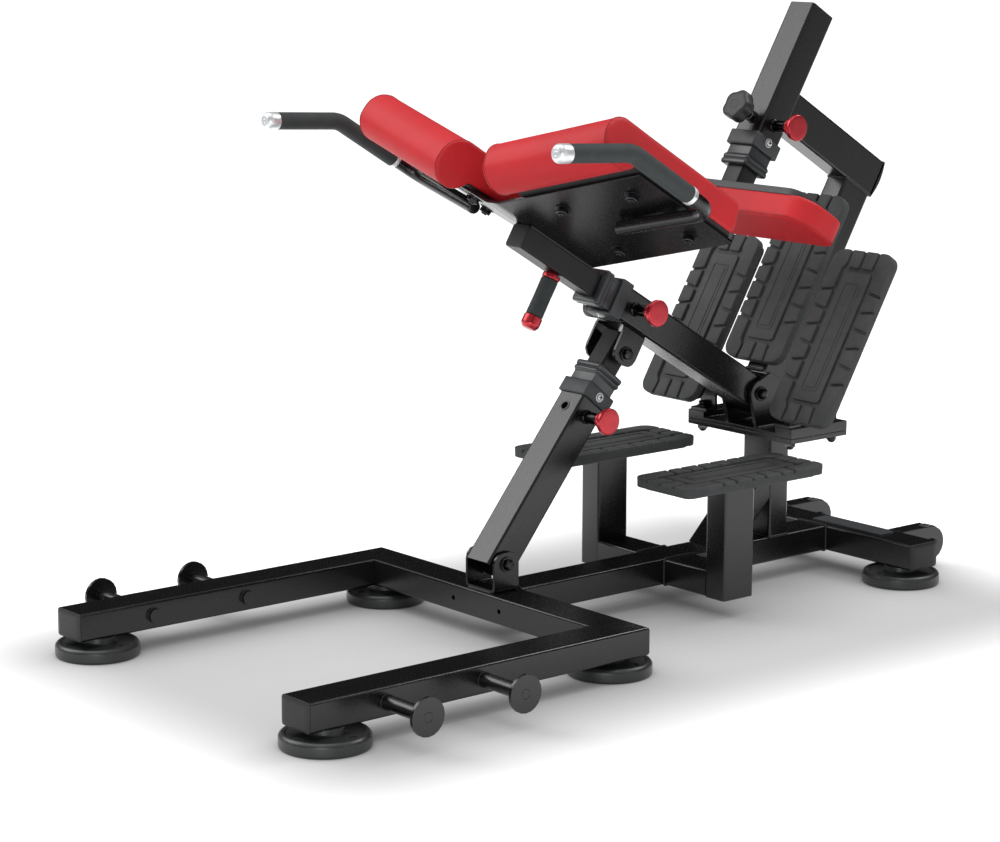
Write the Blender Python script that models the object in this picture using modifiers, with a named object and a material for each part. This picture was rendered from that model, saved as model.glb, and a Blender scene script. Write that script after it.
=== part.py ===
"""Hyperextension bench: welded base, leaning tower, telescoping beam and strut.

Metres, +Z up. The origin is on the floor under the middle of the bench's length. +X is the side
of the pull knobs, -Y the open end of the base and +Y the rear crossbar. Pieces of the tower, the
beam and the strut are laid out in tilted frames, which are empties on the pivots.
"""
import math

import bmesh
import bpy
from mathutils import Matrix, Vector

# Fits
GAP = 0.0003            # clearance between touching pieces
RUN = 0.0010            # clearance beside a rolling or swinging piece

# Frame tube, laid flat in the base and on edge in the tower
TUBE_W = 0.0762
TUBE_H = 0.0508
TUBE_WALL = 0.0030
TUBE_ROUND = 0.0050

# Base
BASE_HALF_WIDTH = 0.3791        # outer face of each side arm
ARM_LENGTH = 0.7146             # from the cross tube's rear face to the open front end
SPINE_LENGTH = 0.7912           # cross tube's rear face to the crossbar's front face
CROSSBAR_LENGTH = 0.5210
CROSS_HOLE_D = 0.0090
CROSS_HOLE_X = 0.0650

# Feet
FOOT_D = 0.1500
FOOT_H = 0.0250
FOOT_HUB_D = 0.0640
FOOT_HUB_H = 0.0120
FOOT_ROUND = 0.0050
FRONT_FOOT_SETBACK = 0.0550     # centre behind the arm's open end
CORNER_FOOT_INSET = 0.0611      # centre in from the base's side
REAR_FOOT_INSET = 0.0559        # centre in from the crossbar's end

# Band pegs on the side arms
PEG_D = 0.0254
PEG_DISC_D = 0.0650
PEG_DISC_T = 0.0060
PEG_REACH = 0.1060              # arm's outer face to the disc's outer face
PEG_STUB = 0.0080               # what shows on the arm's inner face
PEG_FRONT = 0.5655              # ahead of the cross tube's rear face
PEG_SPACING = 0.1990

# Transport wheels behind the crossbar
WHEEL_D = 0.0700
WHEEL_W = 0.0280
WHEEL_BORE_D = 0.0126
WHEEL_ROUND = 0.0040
WHEEL_X = 0.1540
WHEEL_BEHIND = 0.0898           # axle behind the crossbar's rear face
WHEEL_RISE = 0.0150             # axle above the base tubes' underside
FORK_PLATE = 0.0040
FORK_ROUND = 0.0330
FORK_WEB_LENGTH = 0.0700
FORK_LOW = 0.0060               # foot of the fork's back plate above the tubes' underside

# Step supports and treads
STEP_Y = 0.3896                 # centre behind the cross tube's rear face
STEP_POST_OUT = 0.2000          # outer face of the post from the middle plane
TREAD_L = 0.3590
TREAD_W = 0.1540
TREAD_T = 0.0177
TREAD_ROUND = 0.0260
STEP_RISE = 0.2400              # top of the tread above the base tubes' underside
STEP_PLATE_T = 0.0050
STEP_PLATE_INSET = 0.0150
STEP_TREAD_X = 0.1740

# Rear post, its brace and the platform plate
POST_BEHIND = 0.6310            # front face behind the cross tube's rear face
PLATFORM_RISE = 0.2580          # underside of the platform plate
PLATFORM_T = 0.0095
PLATFORM_HALF_X = 0.1415
PLATFORM_DEPTH = 0.1530
BRACE_RISE = 0.1110             # height of the brace's axis where it meets the post
PLATFORM_BOLT_X = 0.1200
PLATFORM_BOLT_SPACING = 0.1140
PLATFORM_BOLT_HOLE_D = 0.0130

# Tower, in the tilted frame at the beam's pivot
TILT = math.radians(31.0)       # beam above the horizontal, as photographed
PIVOT_BEHIND = 0.5964
PIVOT_RISE = 0.3408
PIVOT_PIN_D = 0.0160
TOWER_PLATE_T = 0.0072
TOWER_BLOCK_W = 0.0435
TOWER_BLOCK_T = 0.0187
CHEEK_T = 0.0080
CHEEK_IN = 0.0345               # inner face of each cheek from the middle plane
CHEEK_ROUND = 0.0260
CHEEK_FOOT_FRONT = 0.0080       # cheek's foot behind the plate's front edge
CHEEK_FOOT_L = 0.1050
SADDLE_LOW = 0.0410             # underside of the saddle under the tower post
SADDLE_T = 0.0060
TOWER_POST_FRONT = -0.0010      # front face of the tower post, ahead of the pivot
TOWER_ARM_LOW = 0.4665          # underside of the upper arm above the pivot
TOWER_ARM_REAR = 0.0840         # rear end of the upper arm behind the pivot

# Telescoping square tubes
OUTER_SQ = 0.0635
OUTER_WALL = 0.0030
INNER_SQ = 0.04445
INNER_WALL = 0.0030
INNER_ROUND = 0.0040
COLLAR_SQ = 0.0730
COLLAR_L = 0.0290
COLLAR_ROUND = 0.0030
COLLAR_LIP = 0.0020             # collar's mouth beyond the outer tube's end
BUSH_BODY_SQ = 0.0585
BUSH_BODY_L = 0.0280
BUSH_FLANGE_SQ = 0.0680
BUSH_FLANGE_L = 0.0140
BUSH_SLEEVE_L = 0.0380
BUSH_ROUND = 0.0040

# Pull pins and tension knobs
PIN_D = 0.0090
PIN_BORE_D = 0.0098
PIN_TIP_CLEAR = 0.0012          # tip of the pulled-in pin to the inner tube
BOSS_D = 0.0200
BOSS_L = 0.0340
PULL_KNOB_D = 0.0500
PULL_KNOB_DISC_T = 0.0100
PULL_KNOB_TAPER = 0.0060
PULL_KNOB_L = 0.0300
PULL_NECK_D = 0.0280
PIN_BACK = 0.0555               # pin's axis behind the outer tube's mouth
STAR_KNOB_D = 0.0630
STAR_KNOB_L = 0.0300
STAR_KNOB_LOBES = 5
STAR_KNOB_LOBE = 0.0045         # depth of the dips between the lobes
STAR_STEM_D = 0.0100
STAR_STEM_L = 0.0150            # stem that shows between the nut and the knob
STAR_NUT_D = 0.0180
STAR_NUT_L = 0.0110
STRUT_HOLE_D = 0.0180

# Beam
BEAM_MOUTH = 0.4290             # end of the outer tube ahead of the pivot
BEAM_TAIL = 0.0320
BEAM_INNER_REAR = 0.1700
BEAM_INNER_FRONT = 0.6720
CLEVIS_AT = 0.3595              # clevis ahead of the beam's pivot
CLEVIS_RISE = 0.0510            # pin above the face that the clevis is welded to
CLEVIS_L = 0.0570
CLEVIS_T = 0.0050
CLEVIS_HALF_X = 0.0410
CLEVIS_END = 0.0215             # ear beyond the pin
CLEVIS_ROUND = 0.0200

# Strut
STRUT_TAIL = 0.0180
STRUT_MOUTH = 0.3690
STRUT_INNER_LOW = 0.1500
STRUT_HEAD = 0.0330             # inner tube beyond the upper pin
STRUT_PIN_FLOAT = 0.0035        # clearance around the upper pin, where the linkage is opened
BARREL_WALL = 0.0040

# Bolts of the three pivots
WASHER_D = 0.0280
WASHER_T = 0.0025
HEX_AF = 0.0240
HEX_T = 0.0090

# Hip pads on their V plate
V_ANGLE = math.radians(15.0)
V_FLAT_HALF = 0.0180
PLATE_T = 0.0060
PLATE_REAR = 0.4985
PLATE_FRONT = 0.7555
PLATE_WING = 0.3270             # along the wing from the bend
PAD_REAR = 0.5065
PAD_ROLL_AT = 0.8150
PAD_ROLL_R = 0.0454
PAD_T = 0.0679
PAD_INNER = 0.0480
PAD_OUTER = 0.3370
PAD_EDGE = 0.0080
PAD_BOLT_S = (0.1070, 0.2680)
PAD_BOLT_B = (0.5450, 0.7023)
PAD_BOLT_HOLE_D = 0.0100

# Side handles
HANDLE_D = 0.0254
HANDLE_GRIP_D = 0.0320
HANDLE_CAP_D = 0.0330
HANDLE_CAP_L = 0.0270
HANDLE_AT = 0.6330              # cross part ahead of the pivot
HANDLE_INNER = 0.1870           # inner end along the wing
HANDLE_DROP = 0.0150            # axis below the plate
HANDLE_X = 0.4050
HANDLE_RAISE = 0.1060           # axis of the long part above the beam's axis
HANDLE_GRIP_FROM = 0.7010
HANDLE_BEND_AT = 0.8490
HANDLE_LEVEL = 0.1660           # front part from the bend to the cap's end
HANDLE_LIFT = math.radians(3.0)  # of the front part above level
HANDLE_CORNER = 0.0400
HANDLE_SWEEP = 0.0550

# Adjusting handle under the beam's inner tube
ADJUST_AT = 0.5635
ADJUST_ROD_D = 0.0200
ADJUST_GRIP_D = 0.0320
ADJUST_COLLAR_D = 0.0330
ADJUST_COLLAR_L = 0.0120
ADJUST_GRIP_L = 0.0740
ADJUST_CAP_L = 0.0220
ADJUST_CAP_ROUND = 0.0060

# Leg pad and its post
LEG_AT = 0.2368                 # post's axis ahead of the pivot
LEG_TUBE_TOP = 0.7040
LEG_MOUTH = 0.3990
LEG_INNER_TOP = 0.6400
LEG_PAD_TOP = 0.2967
LEG_PAD_T = 0.0497
LEG_BACKING_T = 0.0090
LEG_BACKING_INSET = 0.0245      # in from the pad's sides
LEG_BACKING_REAR_INSET = 0.0100
LEG_BACKING_ROUND = 0.0300
LEG_PAD_FRONT = 0.3000
LEG_PAD_REAR = 0.1725
LEG_PAD_HALF = 0.2565
LEG_PAD_FRONT_ROUND = 0.0600
LEG_PAD_REAR_ROUND = 0.0360

# Foot plates
PLATE_FACE = 0.0250             # tread's face ahead of the pivot
SIDE_PLATE_X = 0.1780
SIDE_PLATE_LOW = -0.0490
CENTRE_PLATE_LOW = 0.0570
BACKING_T = 0.0080
BACKING_INSET = 0.0120
BACKING_ROUND = 0.0120
BRACKET_T = 0.0060
BRACKET_IN = 0.0930
BRACKET_W = 0.0420
BRACKET_LEG_AT = 0.0320         # back of the upright leg behind the platform's front edge

# What follows from them
BASE_Z = FOOT_H + FOOT_HUB_H
REAR_REACH = SPINE_LENGTH + TUBE_W + WHEEL_BEHIND + WHEEL_D / 2
FRONT_REACH = ARM_LENGTH - FRONT_FOOT_SETBACK + FOOT_D / 2
CROSS_REAR_Y = (FRONT_REACH - REAR_REACH) / 2
CROSSBAR_REAR_Y = CROSS_REAR_Y + SPINE_LENGTH + TUBE_W
PLATFORM_Y = CROSS_REAR_Y + POST_BEHIND + TUBE_H / 2
PLATFORM_FRONT_Y = PLATFORM_Y - PLATFORM_DEPTH / 2
PLATFORM_TOP_Z = BASE_Z + PLATFORM_RISE + PLATFORM_T
BLOCK_TOP_Z = PLATFORM_TOP_Z + GAP + TOWER_BLOCK_T
BEAM_PIVOT = Vector((0.0, CROSS_REAR_Y + PIVOT_BEHIND, BASE_Z + PIVOT_RISE))
STRUT_PIVOT = Vector((0.0, CROSS_REAR_Y - TUBE_W / 2, BASE_Z + TUBE_H + CLEVIS_RISE))
CLEVIS_PIN_N = -OUTER_SQ / 2 - CLEVIS_RISE
TILT_TURN = Matrix.Rotation(-TILT, 4, 'X')
CLEVIS_PIN = BEAM_PIVOT + TILT_TURN @ Vector((0.0, -CLEVIS_AT, CLEVIS_PIN_N))
STRUT_LINE = CLEVIS_PIN - STRUT_PIVOT
STRUT_LENGTH = STRUT_LINE.length
STRUT_LEAN = -math.atan2(STRUT_LINE.y, STRUT_LINE.z)
TREAD_BACK = PLATE_FACE - TREAD_T
TOWER_POST_REAR = TOWER_POST_FRONT - TUBE_W
PIN_TIP = INNER_SQ / 2 + PIN_TIP_CLEAR
PLATE_UNDER = INNER_SQ / 2 + GAP

COLOURS = {
    'black_steel': ((0.022, 0.022, 0.023), 0.42, 0.0),
    'collar_plastic': ((0.040, 0.046, 0.048), 0.50, 0.0),
    'bush_plastic': ((0.018, 0.018, 0.019), 0.45, 0.0),
    'tread_rubber': ((0.045, 0.048, 0.050), 0.75, 0.0),
    'foot_rubber': ((0.048, 0.052, 0.054), 0.65, 0.0),
    'wheel_nylon': ((0.020, 0.020, 0.020), 0.50, 0.0),
    'grip_rubber': ((0.030, 0.032, 0.033), 0.80, 0.0),
    'red_vinyl': ((0.520, 0.020, 0.030), 0.45, 0.0),
    'red_metal': ((0.480, 0.025, 0.035), 0.35, 0.6),
    'bolt_steel': ((0.030, 0.030, 0.031), 0.35, 0.8),
}

AXIS_TURN = {
    'Z': Matrix.Identity(4),
    'Y': Matrix.Rotation(math.radians(90), 4, 'X'),
    'X': Matrix(((0, 0, 1, 0), (1, 0, 0, 0), (0, 1, 0, 0), (0, 0, 0, 1))),
}


def clear_scene():
    for obj in list(bpy.data.objects):
        bpy.data.objects.remove(obj, do_unlink=True)


def new_collection(name):
    collection = bpy.data.collections.new(name)
    bpy.context.scene.collection.children.link(collection)
    return collection


def material(name):
    """Plain Principled material for one of the named colours."""
    found = bpy.data.materials.get(name)
    if found:
        return found
    colour, roughness, metallic = COLOURS[name]
    made = bpy.data.materials.new(name)
    made.use_nodes = True
    shader = made.node_tree.nodes['Principled BSDF']
    shader.inputs['Base Color'].default_value = (*colour, 1.0)
    shader.inputs['Roughness'].default_value = roughness
    shader.inputs['Metallic'].default_value = metallic
    return made


def frame(name, location, lean=0.0, parent=None):
    """Empty that holds a tilted frame: lean turns it about X."""
    empty = bpy.data.objects.new(name, None)
    empty.location = location
    empty.rotation_euler = (lean, 0.0, 0.0)
    empty.parent = parent
    PARTS.objects.link(empty)
    return empty


def evaluated_mesh(obj):
    bpy.context.view_layer.update()
    depsgraph = bpy.context.evaluated_depsgraph_get()
    return bpy.data.meshes.new_from_object(obj.evaluated_get(depsgraph))


def welded(mesh):
    work = bmesh.new()
    work.from_mesh(mesh)
    bmesh.ops.remove_doubles(work, verts=work.verts, dist=1e-6)
    bmesh.ops.recalc_face_normals(work, faces=work.faces)
    work.to_mesh(mesh)
    work.free()
    return mesh


def as_mesh(obj, turn=AXIS_TURN['Z']):
    """Turn a curve or a modified mesh into a plain mesh object of the same name."""
    mesh = welded(evaluated_mesh(obj))
    mesh.transform(turn @ obj.matrix_world)
    name = obj.name
    bpy.data.objects.remove(obj, do_unlink=True)
    made = bpy.data.objects.new(name, mesh)
    PARTS.objects.link(made)
    return made


def combine(target, tool, operation):
    """Apply a Boolean at once and drop its tool."""
    modifier = target.modifiers.new(operation.lower(), 'BOOLEAN')
    modifier.operation = operation
    modifier.solver = 'EXACT'
    modifier.object = tool
    mesh = evaluated_mesh(target)
    target.modifiers.clear()
    target.data = mesh
    bpy.data.objects.remove(tool, do_unlink=True)
    return target


def weld_on(target, *tools):
    for tool in tools:
        combine(target, tool, 'UNION')
    return target


def cut(target, *tools):
    for tool in tools:
        combine(target, tool, 'DIFFERENCE')
    return target


def arc(cx, cy, radius, start, stop, steps):
    """Points of an arc; start and stop are in degrees."""
    points = []
    for step in range(steps + 1):
        angle = math.radians(start + (stop - start) * step / steps)
        points.append((cx + radius * math.cos(angle), cy + radius * math.sin(angle)))
    return points


def rounded_box(width, height, radius, steps=2):
    half_w = width / 2 - radius
    half_h = height / 2 - radius
    points = []
    for cx, cy, start in ((half_w, half_h, 0), (-half_w, half_h, 90), (-half_w, -half_h, 180), (half_w, -half_h, 270)):
        points += arc(cx, cy, radius, start, start + 90, steps)
    return points


def prism(name, loops, depth, axis='Z', at=(0.0, 0.0, 0.0)):
    """Extrude closed outlines, the later ones being holes, centred on at."""
    curve = bpy.data.curves.new(name, 'CURVE')
    curve.dimensions = '2D'
    curve.fill_mode = 'BOTH'
    curve.extrude = depth / 2
    for loop in loops:
        spline = curve.splines.new('POLY')
        spline.points.add(len(loop) - 1)
        for point, (u, v) in zip(spline.points, loop):
            point.co = (u, v, 0.0, 1.0)
        spline.use_cyclic_u = True
    obj = bpy.data.objects.new(name, curve)
    PARTS.objects.link(obj)
    made = as_mesh(obj, AXIS_TURN[axis])
    made.location = at
    return made


def box(name, low, high):
    """Box between two corners."""
    low = Vector(low)
    high = Vector(high)
    size = high - low
    mesh = bpy.data.meshes.new(name)
    work = bmesh.new()
    bmesh.ops.create_cube(work, size=1.0)
    bmesh.ops.scale(work, vec=size, verts=work.verts)
    work.to_mesh(mesh)
    work.free()
    obj = bpy.data.objects.new(name, mesh)
    obj.location = (low + high) / 2
    PARTS.objects.link(obj)
    return obj


def rod(name, diameter, length, axis, at, segments=20):
    """Cylinder along an axis, centred on at."""
    mesh = bpy.data.meshes.new(name)
    work = bmesh.new()
    bmesh.ops.create_cone(work, cap_ends=True, segments=segments, radius1=diameter / 2,
                          radius2=diameter / 2, depth=length)
    work.to_mesh(mesh)
    work.free()
    mesh.transform(AXIS_TURN[axis])
    obj = bpy.data.objects.new(name, mesh)
    obj.location = at
    PARTS.objects.link(obj)
    return obj


def turned(name, profile, axis, at=(0.0, 0.0, 0.0), segments=28):
    """Turn a profile of (radius, height) points that runs down its outer side."""
    mesh = bpy.data.meshes.new(name)
    edges = [(index, index + 1) for index in range(len(profile) - 1)]
    mesh.from_pydata([(radius, 0.0, height) for radius, height in profile], edges, [])
    obj = bpy.data.objects.new(name, mesh)
    PARTS.objects.link(obj)
    screw = obj.modifiers.new('turn', 'SCREW')
    screw.steps = segments
    screw.render_steps = segments
    screw.use_merge_vertices = True
    screw.merge_threshold = 0.00001
    made = as_mesh(obj, AXIS_TURN[axis])
    made.location = at
    return made


def square_tube(name, size, wall, corner, length, axis, at):
    """Square or rectangular hollow tube; size is its outer width and height."""
    width, height = size
    inner = rounded_box(width - 2 * wall, height - 2 * wall, max(corner - wall, 0.0005), 1)
    return prism(name, (rounded_box(width, height, corner), inner), length, axis, at)


def mitre(obj, axis, end, across, slope):
    """Slide the end vertices of a straight tube along it, in step with their place across it."""
    for vertex in obj.data.vertices:
        if vertex.co[axis] * end > 0:
            vertex.co[axis] += slope * vertex.co[across]
    return obj


def bent_path(corners, radii, steps=5):
    """Polyline through the corners with its bends rounded to the given radii."""
    points = [Vector(corners[0])]
    for before, corner, after, radius in zip(corners, corners[1:], corners[2:], radii):
        before, corner, after = Vector(before), Vector(corner), Vector(after)
        entry = (before - corner).normalized()
        leave = (after - corner).normalized()
        half = entry.angle(leave) / 2
        middle = corner + (entry + leave).normalized() * radius / math.sin(half)
        first = (corner + entry * radius / math.tan(half) - middle).normalized()
        last = (corner + leave * radius / math.tan(half) - middle).normalized()
        for step in range(steps + 1):
            points.append(middle + first.slerp(last, step / steps) * radius)
    points.append(Vector(corners[-1]))
    return points


def swept(name, points, diameter, resolution=3):
    """Round bar along a path."""
    curve = bpy.data.curves.new(name, 'CURVE')
    curve.dimensions = '3D'
    curve.bevel_depth = diameter / 2
    curve.bevel_resolution = resolution
    curve.use_fill_caps = True
    spline = curve.splines.new('POLY')
    spline.points.add(len(points) - 1)
    for point, place in zip(spline.points, points):
        point.co = (*place, 1.0)
    obj = bpy.data.objects.new(name, curve)
    PARTS.objects.link(obj)
    return as_mesh(obj)


def finish(obj, colour, parent):
    """Give a piece its material and hang it in its frame."""
    obj.data.materials.clear()
    obj.data.materials.append(material(colour))
    obj.data.shade_smooth()
    obj.data.set_sharp_from_angle(angle=math.radians(35))
    obj.parent = parent
    return obj


def base_y(behind):
    return CROSS_REAR_Y + behind


def base_tubes(bench):
    """U-shaped front, spine, crossbar and the pegs welded through the side arms."""
    mid_z = BASE_Z + TUBE_H / 2
    arm_x = BASE_HALF_WIDTH - TUBE_W / 2
    arm_mid = ARM_LENGTH - TUBE_W / 2
    for side, word in ((1, 'near'), (-1, 'far')):
        at = (side * arm_x, base_y(-TUBE_W / 2 - arm_mid / 2), mid_z)
        arm = square_tube(f'base_arm_{word}', (TUBE_W, TUBE_H), TUBE_WALL, TUBE_ROUND, arm_mid - GAP, 'Y', at)
        mitre(arm, 1, 1, 0, side)
        for row in range(2):
            y = base_y(-PEG_FRONT + row * PEG_SPACING)
            inner_end = BASE_HALF_WIDTH - TUBE_W - PEG_STUB
            outer_end = BASE_HALF_WIDTH + PEG_REACH
            peg = rod('peg', PEG_D, outer_end - inner_end - PEG_DISC_T / 2, 'X',
                      (side * (inner_end + outer_end - PEG_DISC_T / 2) / 2, y, mid_z), 14)
            disc = rod('disc', PEG_DISC_D, PEG_DISC_T, 'X', (side * (outer_end - PEG_DISC_T / 2), y, mid_z), 20)
            weld_on(arm, weld_on(peg, disc))
        finish(arm, 'black_steel', bench)
    cross = square_tube('base_cross_tube', (TUBE_W, TUBE_H), TUBE_WALL, TUBE_ROUND, 2 * arm_x - GAP, 'X',
                        (0.0, base_y(-TUBE_W / 2), mid_z))
    mitre(cross, 0, 1, 1, 1)
    mitre(cross, 0, -1, 1, -1)
    for side in (1, -1):
        hole = rod('hole', CROSS_HOLE_D, 4 * TUBE_WALL, 'Y', (side * CROSS_HOLE_X, base_y(-TUBE_W), mid_z), 12)
        cut(cross, hole)
    clevis = clevis_body('clevis')
    clevis.location = (0.0, STRUT_PIVOT.y, BASE_Z + TUBE_H)
    weld_on(cross, clevis)
    finish(cross, 'black_steel', bench)
    spine = square_tube('base_spine', (TUBE_W, TUBE_H), TUBE_WALL, TUBE_ROUND, SPINE_LENGTH - 2 * GAP, 'Y',
                        (0.0, base_y(SPINE_LENGTH / 2), mid_z))
    finish(spine, 'black_steel', bench)
    crossbar = square_tube('rear_crossbar', (TUBE_W, TUBE_H), TUBE_WALL, TUBE_ROUND, CROSSBAR_LENGTH, 'X',
                           (0.0, base_y(SPINE_LENGTH + TUBE_W / 2), mid_z))
    finish(crossbar, 'black_steel', bench)


def clevis_body(name):
    """U-shaped clevis standing on its web at z = 0, with its pin bore along X at CLEVIS_RISE."""
    half = CLEVIS_HALF_X
    round_out = 2 * CLEVIS_T
    tall = CLEVIS_RISE + CLEVIS_END
    sink = TUBE_WALL / 3
    outer = [(half, tall), (-half, tall)]
    outer += arc(-half + round_out, round_out - sink, round_out, 180, 270, 2)
    outer += arc(half - round_out, round_out - sink, round_out, 270, 360, 2)
    hollow_half = half - CLEVIS_T
    hollow = [(hollow_half, tall * 1.2), (-hollow_half, tall * 1.2)]
    hollow += arc(-hollow_half + CLEVIS_T, 2 * CLEVIS_T, CLEVIS_T, 180, 270, 2)
    hollow += arc(hollow_half - CLEVIS_T, 2 * CLEVIS_T, CLEVIS_T, 270, 360, 2)
    body = prism(name, (outer,), CLEVIS_L, 'Y')
    cut(body, prism('hollow', (hollow,), CLEVIS_L * 1.2, 'Y'))
    low = CLEVIS_L / 2
    silhouette = [(low, -tall), (low, tall - CLEVIS_ROUND)]
    silhouette += arc(low - CLEVIS_ROUND, tall - CLEVIS_ROUND, CLEVIS_ROUND, 0, 90, 3)[1:]
    silhouette += arc(-low + CLEVIS_ROUND, tall - CLEVIS_ROUND, CLEVIS_ROUND, 90, 180, 3)
    silhouette += [(-low, -tall)]
    combine(body, prism('silhouette', (silhouette,), half * 3, 'X'), 'INTERSECT')
    cut(body, rod('bore', PIVOT_PIN_D + 2 * GAP, half * 3, 'X', (0.0, 0.0, CLEVIS_RISE), 16))
    return body


def feet(bench):
    """Six rubber discs on short hubs under the base tubes."""
    top = FOOT_H + FOOT_HUB_H - GAP
    rim = FOOT_D / 2
    hub = FOOT_HUB_D / 2
    profile = [(0.0, top), (hub, top), (hub, FOOT_H)]
    profile += arc(rim - FOOT_ROUND, FOOT_H - FOOT_ROUND, FOOT_ROUND, 90, 0, 2)
    profile += [(rim, 0.0), (0.0, 0.0)]
    places = {
        'front': (BASE_HALF_WIDTH - TUBE_W / 2, base_y(-ARM_LENGTH + FRONT_FOOT_SETBACK)),
        'corner': (BASE_HALF_WIDTH - CORNER_FOOT_INSET, base_y(-TUBE_W / 2)),
        'rear': (CROSSBAR_LENGTH / 2 - REAR_FOOT_INSET, base_y(SPINE_LENGTH + TUBE_W / 2)),
    }
    for place, (x, y) in places.items():
        for side, word in ((1, 'near'), (-1, 'far')):
            foot = turned(f'foot_{place}_{word}', profile, 'Z', (side * x, y, 0.0), 24)
            finish(foot, 'foot_rubber', bench)


def wheels(bench):
    """Forks behind the crossbar, each with its axle, and the transport wheels in them."""
    inside = WHEEL_W / 2 + RUN
    outside = inside + FORK_PLATE
    axle_y = CROSSBAR_REAR_Y + WHEEL_BEHIND
    axle_z = BASE_Z + WHEEL_RISE
    front = CROSSBAR_REAR_Y + GAP
    top = BASE_Z + TUBE_H - GAP
    low = BASE_Z + FORK_LOW
    outline = [(front, low), (axle_y - FORK_ROUND * 0.5, axle_z - FORK_ROUND * 0.87)]
    outline += arc(axle_y, axle_z, FORK_ROUND, -90, 70, 8)
    outline += [(axle_y, top), (front, top)]
    for side, word in ((1, 'near'), (-1, 'far')):
        x = side * WHEEL_X
        fork = prism(f'wheel_fork_{word}', (outline,), 2 * outside, 'X', (x, 0.0, 0.0))
        behind = axle_y + 2 * FORK_ROUND
        cut(fork, box('slot', (x - inside, front + FORK_PLATE, -BASE_Z), (x + inside, behind, top - FORK_PLATE)))
        cut(fork, box('slot', (x - inside, front + FORK_WEB_LENGTH, low), (x + inside, behind, top + BASE_Z)))
        axle = rod('axle', WHEEL_BORE_D - 2 * GAP, 2 * outside - FORK_PLATE, 'X', (x, axle_y, axle_z), 16)
        weld_on(fork, axle)
        finish(fork, 'black_steel', bench)
        hub = frame(f'wheel_axis_{word}', (x, axle_y, axle_z), 0.0, bench)
        rim = WHEEL_D / 2
        half = WHEEL_W / 2
        bore = WHEEL_BORE_D / 2
        shoulder = half - WHEEL_ROUND
        profile = [(bore, half), (rim - WHEEL_ROUND, half), (rim, shoulder), (rim, -shoulder),
                   (rim - WHEEL_ROUND, -half), (bore, -half), (bore, half)]
        wheel = turned(f'transport_wheel_{word}', profile, 'X', (0.0, 0.0, 0.0), 24)
        finish(wheel, 'wheel_nylon', hub)


def tread(name, axis, at):
    """Rubber tread with round corners; its length lies along Y, or along Z when axis is Y."""
    outline = rounded_box(TREAD_W, TREAD_L, TREAD_ROUND, 4)
    return prism(name, (outline,), TREAD_T, axis, at)


def steps(bench):
    """L-shaped step supports with their top plates, and the treads on them."""
    top = BASE_Z + STEP_RISE - TREAD_T - GAP
    post_in = STEP_POST_OUT - TUBE_H
    y = base_y(STEP_Y)
    for side, word in ((1, 'near'), (-1, 'far')):
        post_h = top - STEP_PLATE_T / 2 - BASE_Z
        support = square_tube(f'step_support_{word}', (TUBE_H, TUBE_W), TUBE_WALL, TUBE_ROUND, post_h, 'Z',
                              (side * (post_in + TUBE_H / 2), y, BASE_Z + post_h / 2))
        start = TUBE_W / 2 + GAP
        stop = post_in + TUBE_WALL / 2
        arm = square_tube('arm', (TUBE_W, TUBE_H), TUBE_WALL, TUBE_ROUND, stop - start, 'X',
                          (side * (start + stop) / 2, y, BASE_Z + TUBE_H / 2))
        seat = prism('seat', (rounded_box(TREAD_W - 2 * STEP_PLATE_INSET, TREAD_L - 2 * STEP_PLATE_INSET, BACKING_ROUND),),
                     STEP_PLATE_T, 'Z', (side * STEP_TREAD_X, y, top - STEP_PLATE_T / 2))
        weld_on(support, arm, seat)
        finish(support, 'black_steel', bench)
        piece = tread(f'step_tread_{word}', 'Z', (side * STEP_TREAD_X, y, top + GAP + TREAD_T / 2))
        finish(piece, 'tread_rubber', bench)


def rear_post(bench):
    """Upright tube on the spine with the platform plate welded on top, and its sloping brace."""
    low = BASE_Z + TUBE_H + GAP
    high = BASE_Z + PLATFORM_RISE + PLATFORM_T / 3
    post = square_tube('rear_post', (TUBE_W, TUBE_H), TUBE_WALL, TUBE_ROUND, high - low, 'Z',
                       (0.0, PLATFORM_Y, (low + high) / 2))
    plate = box('platform', (-PLATFORM_HALF_X, PLATFORM_FRONT_Y, BASE_Z + PLATFORM_RISE),
                (PLATFORM_HALF_X, PLATFORM_FRONT_Y + PLATFORM_DEPTH, PLATFORM_TOP_Z))
    for x, y in platform_bolts():
        cut(plate, rod('hole', PLATFORM_BOLT_HOLE_D, 4 * PLATFORM_T, 'Z', (x, y, PLATFORM_TOP_Z), 12))
    finish(weld_on(post, plate), 'black_steel', bench)
    rise = BRACE_RISE
    brace = square_tube('rear_brace', (TUBE_W, TUBE_H), TUBE_WALL, TUBE_ROUND, (rise - 2 * GAP) * math.sqrt(2), 'Z',
                        (0.0, base_y(POST_BEHIND) - rise / 2 - GAP / 2, BASE_Z + TUBE_H + rise / 2 + GAP / 2))
    mitre(brace, 2, 1, 1, -1)
    mitre(brace, 2, -1, 1, 1)
    brace.rotation_euler = (math.radians(-45), 0.0, 0.0)
    finish(brace, 'black_steel', bench)


def platform_bolts():
    places = []
    for x in (PLATFORM_BOLT_X, -PLATFORM_BOLT_X):
        for y in (-PLATFORM_BOLT_SPACING / 2, PLATFORM_BOLT_SPACING / 2):
            places.append((x, PLATFORM_Y + y))
    return places


def tilted(reach, height):
    """Place in the bench frame of a point of the tilted frame, as (y, z)."""
    place = BEAM_PIVOT + TILT_TURN @ Vector((0.0, -reach, height))
    return place.y, place.z


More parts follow.
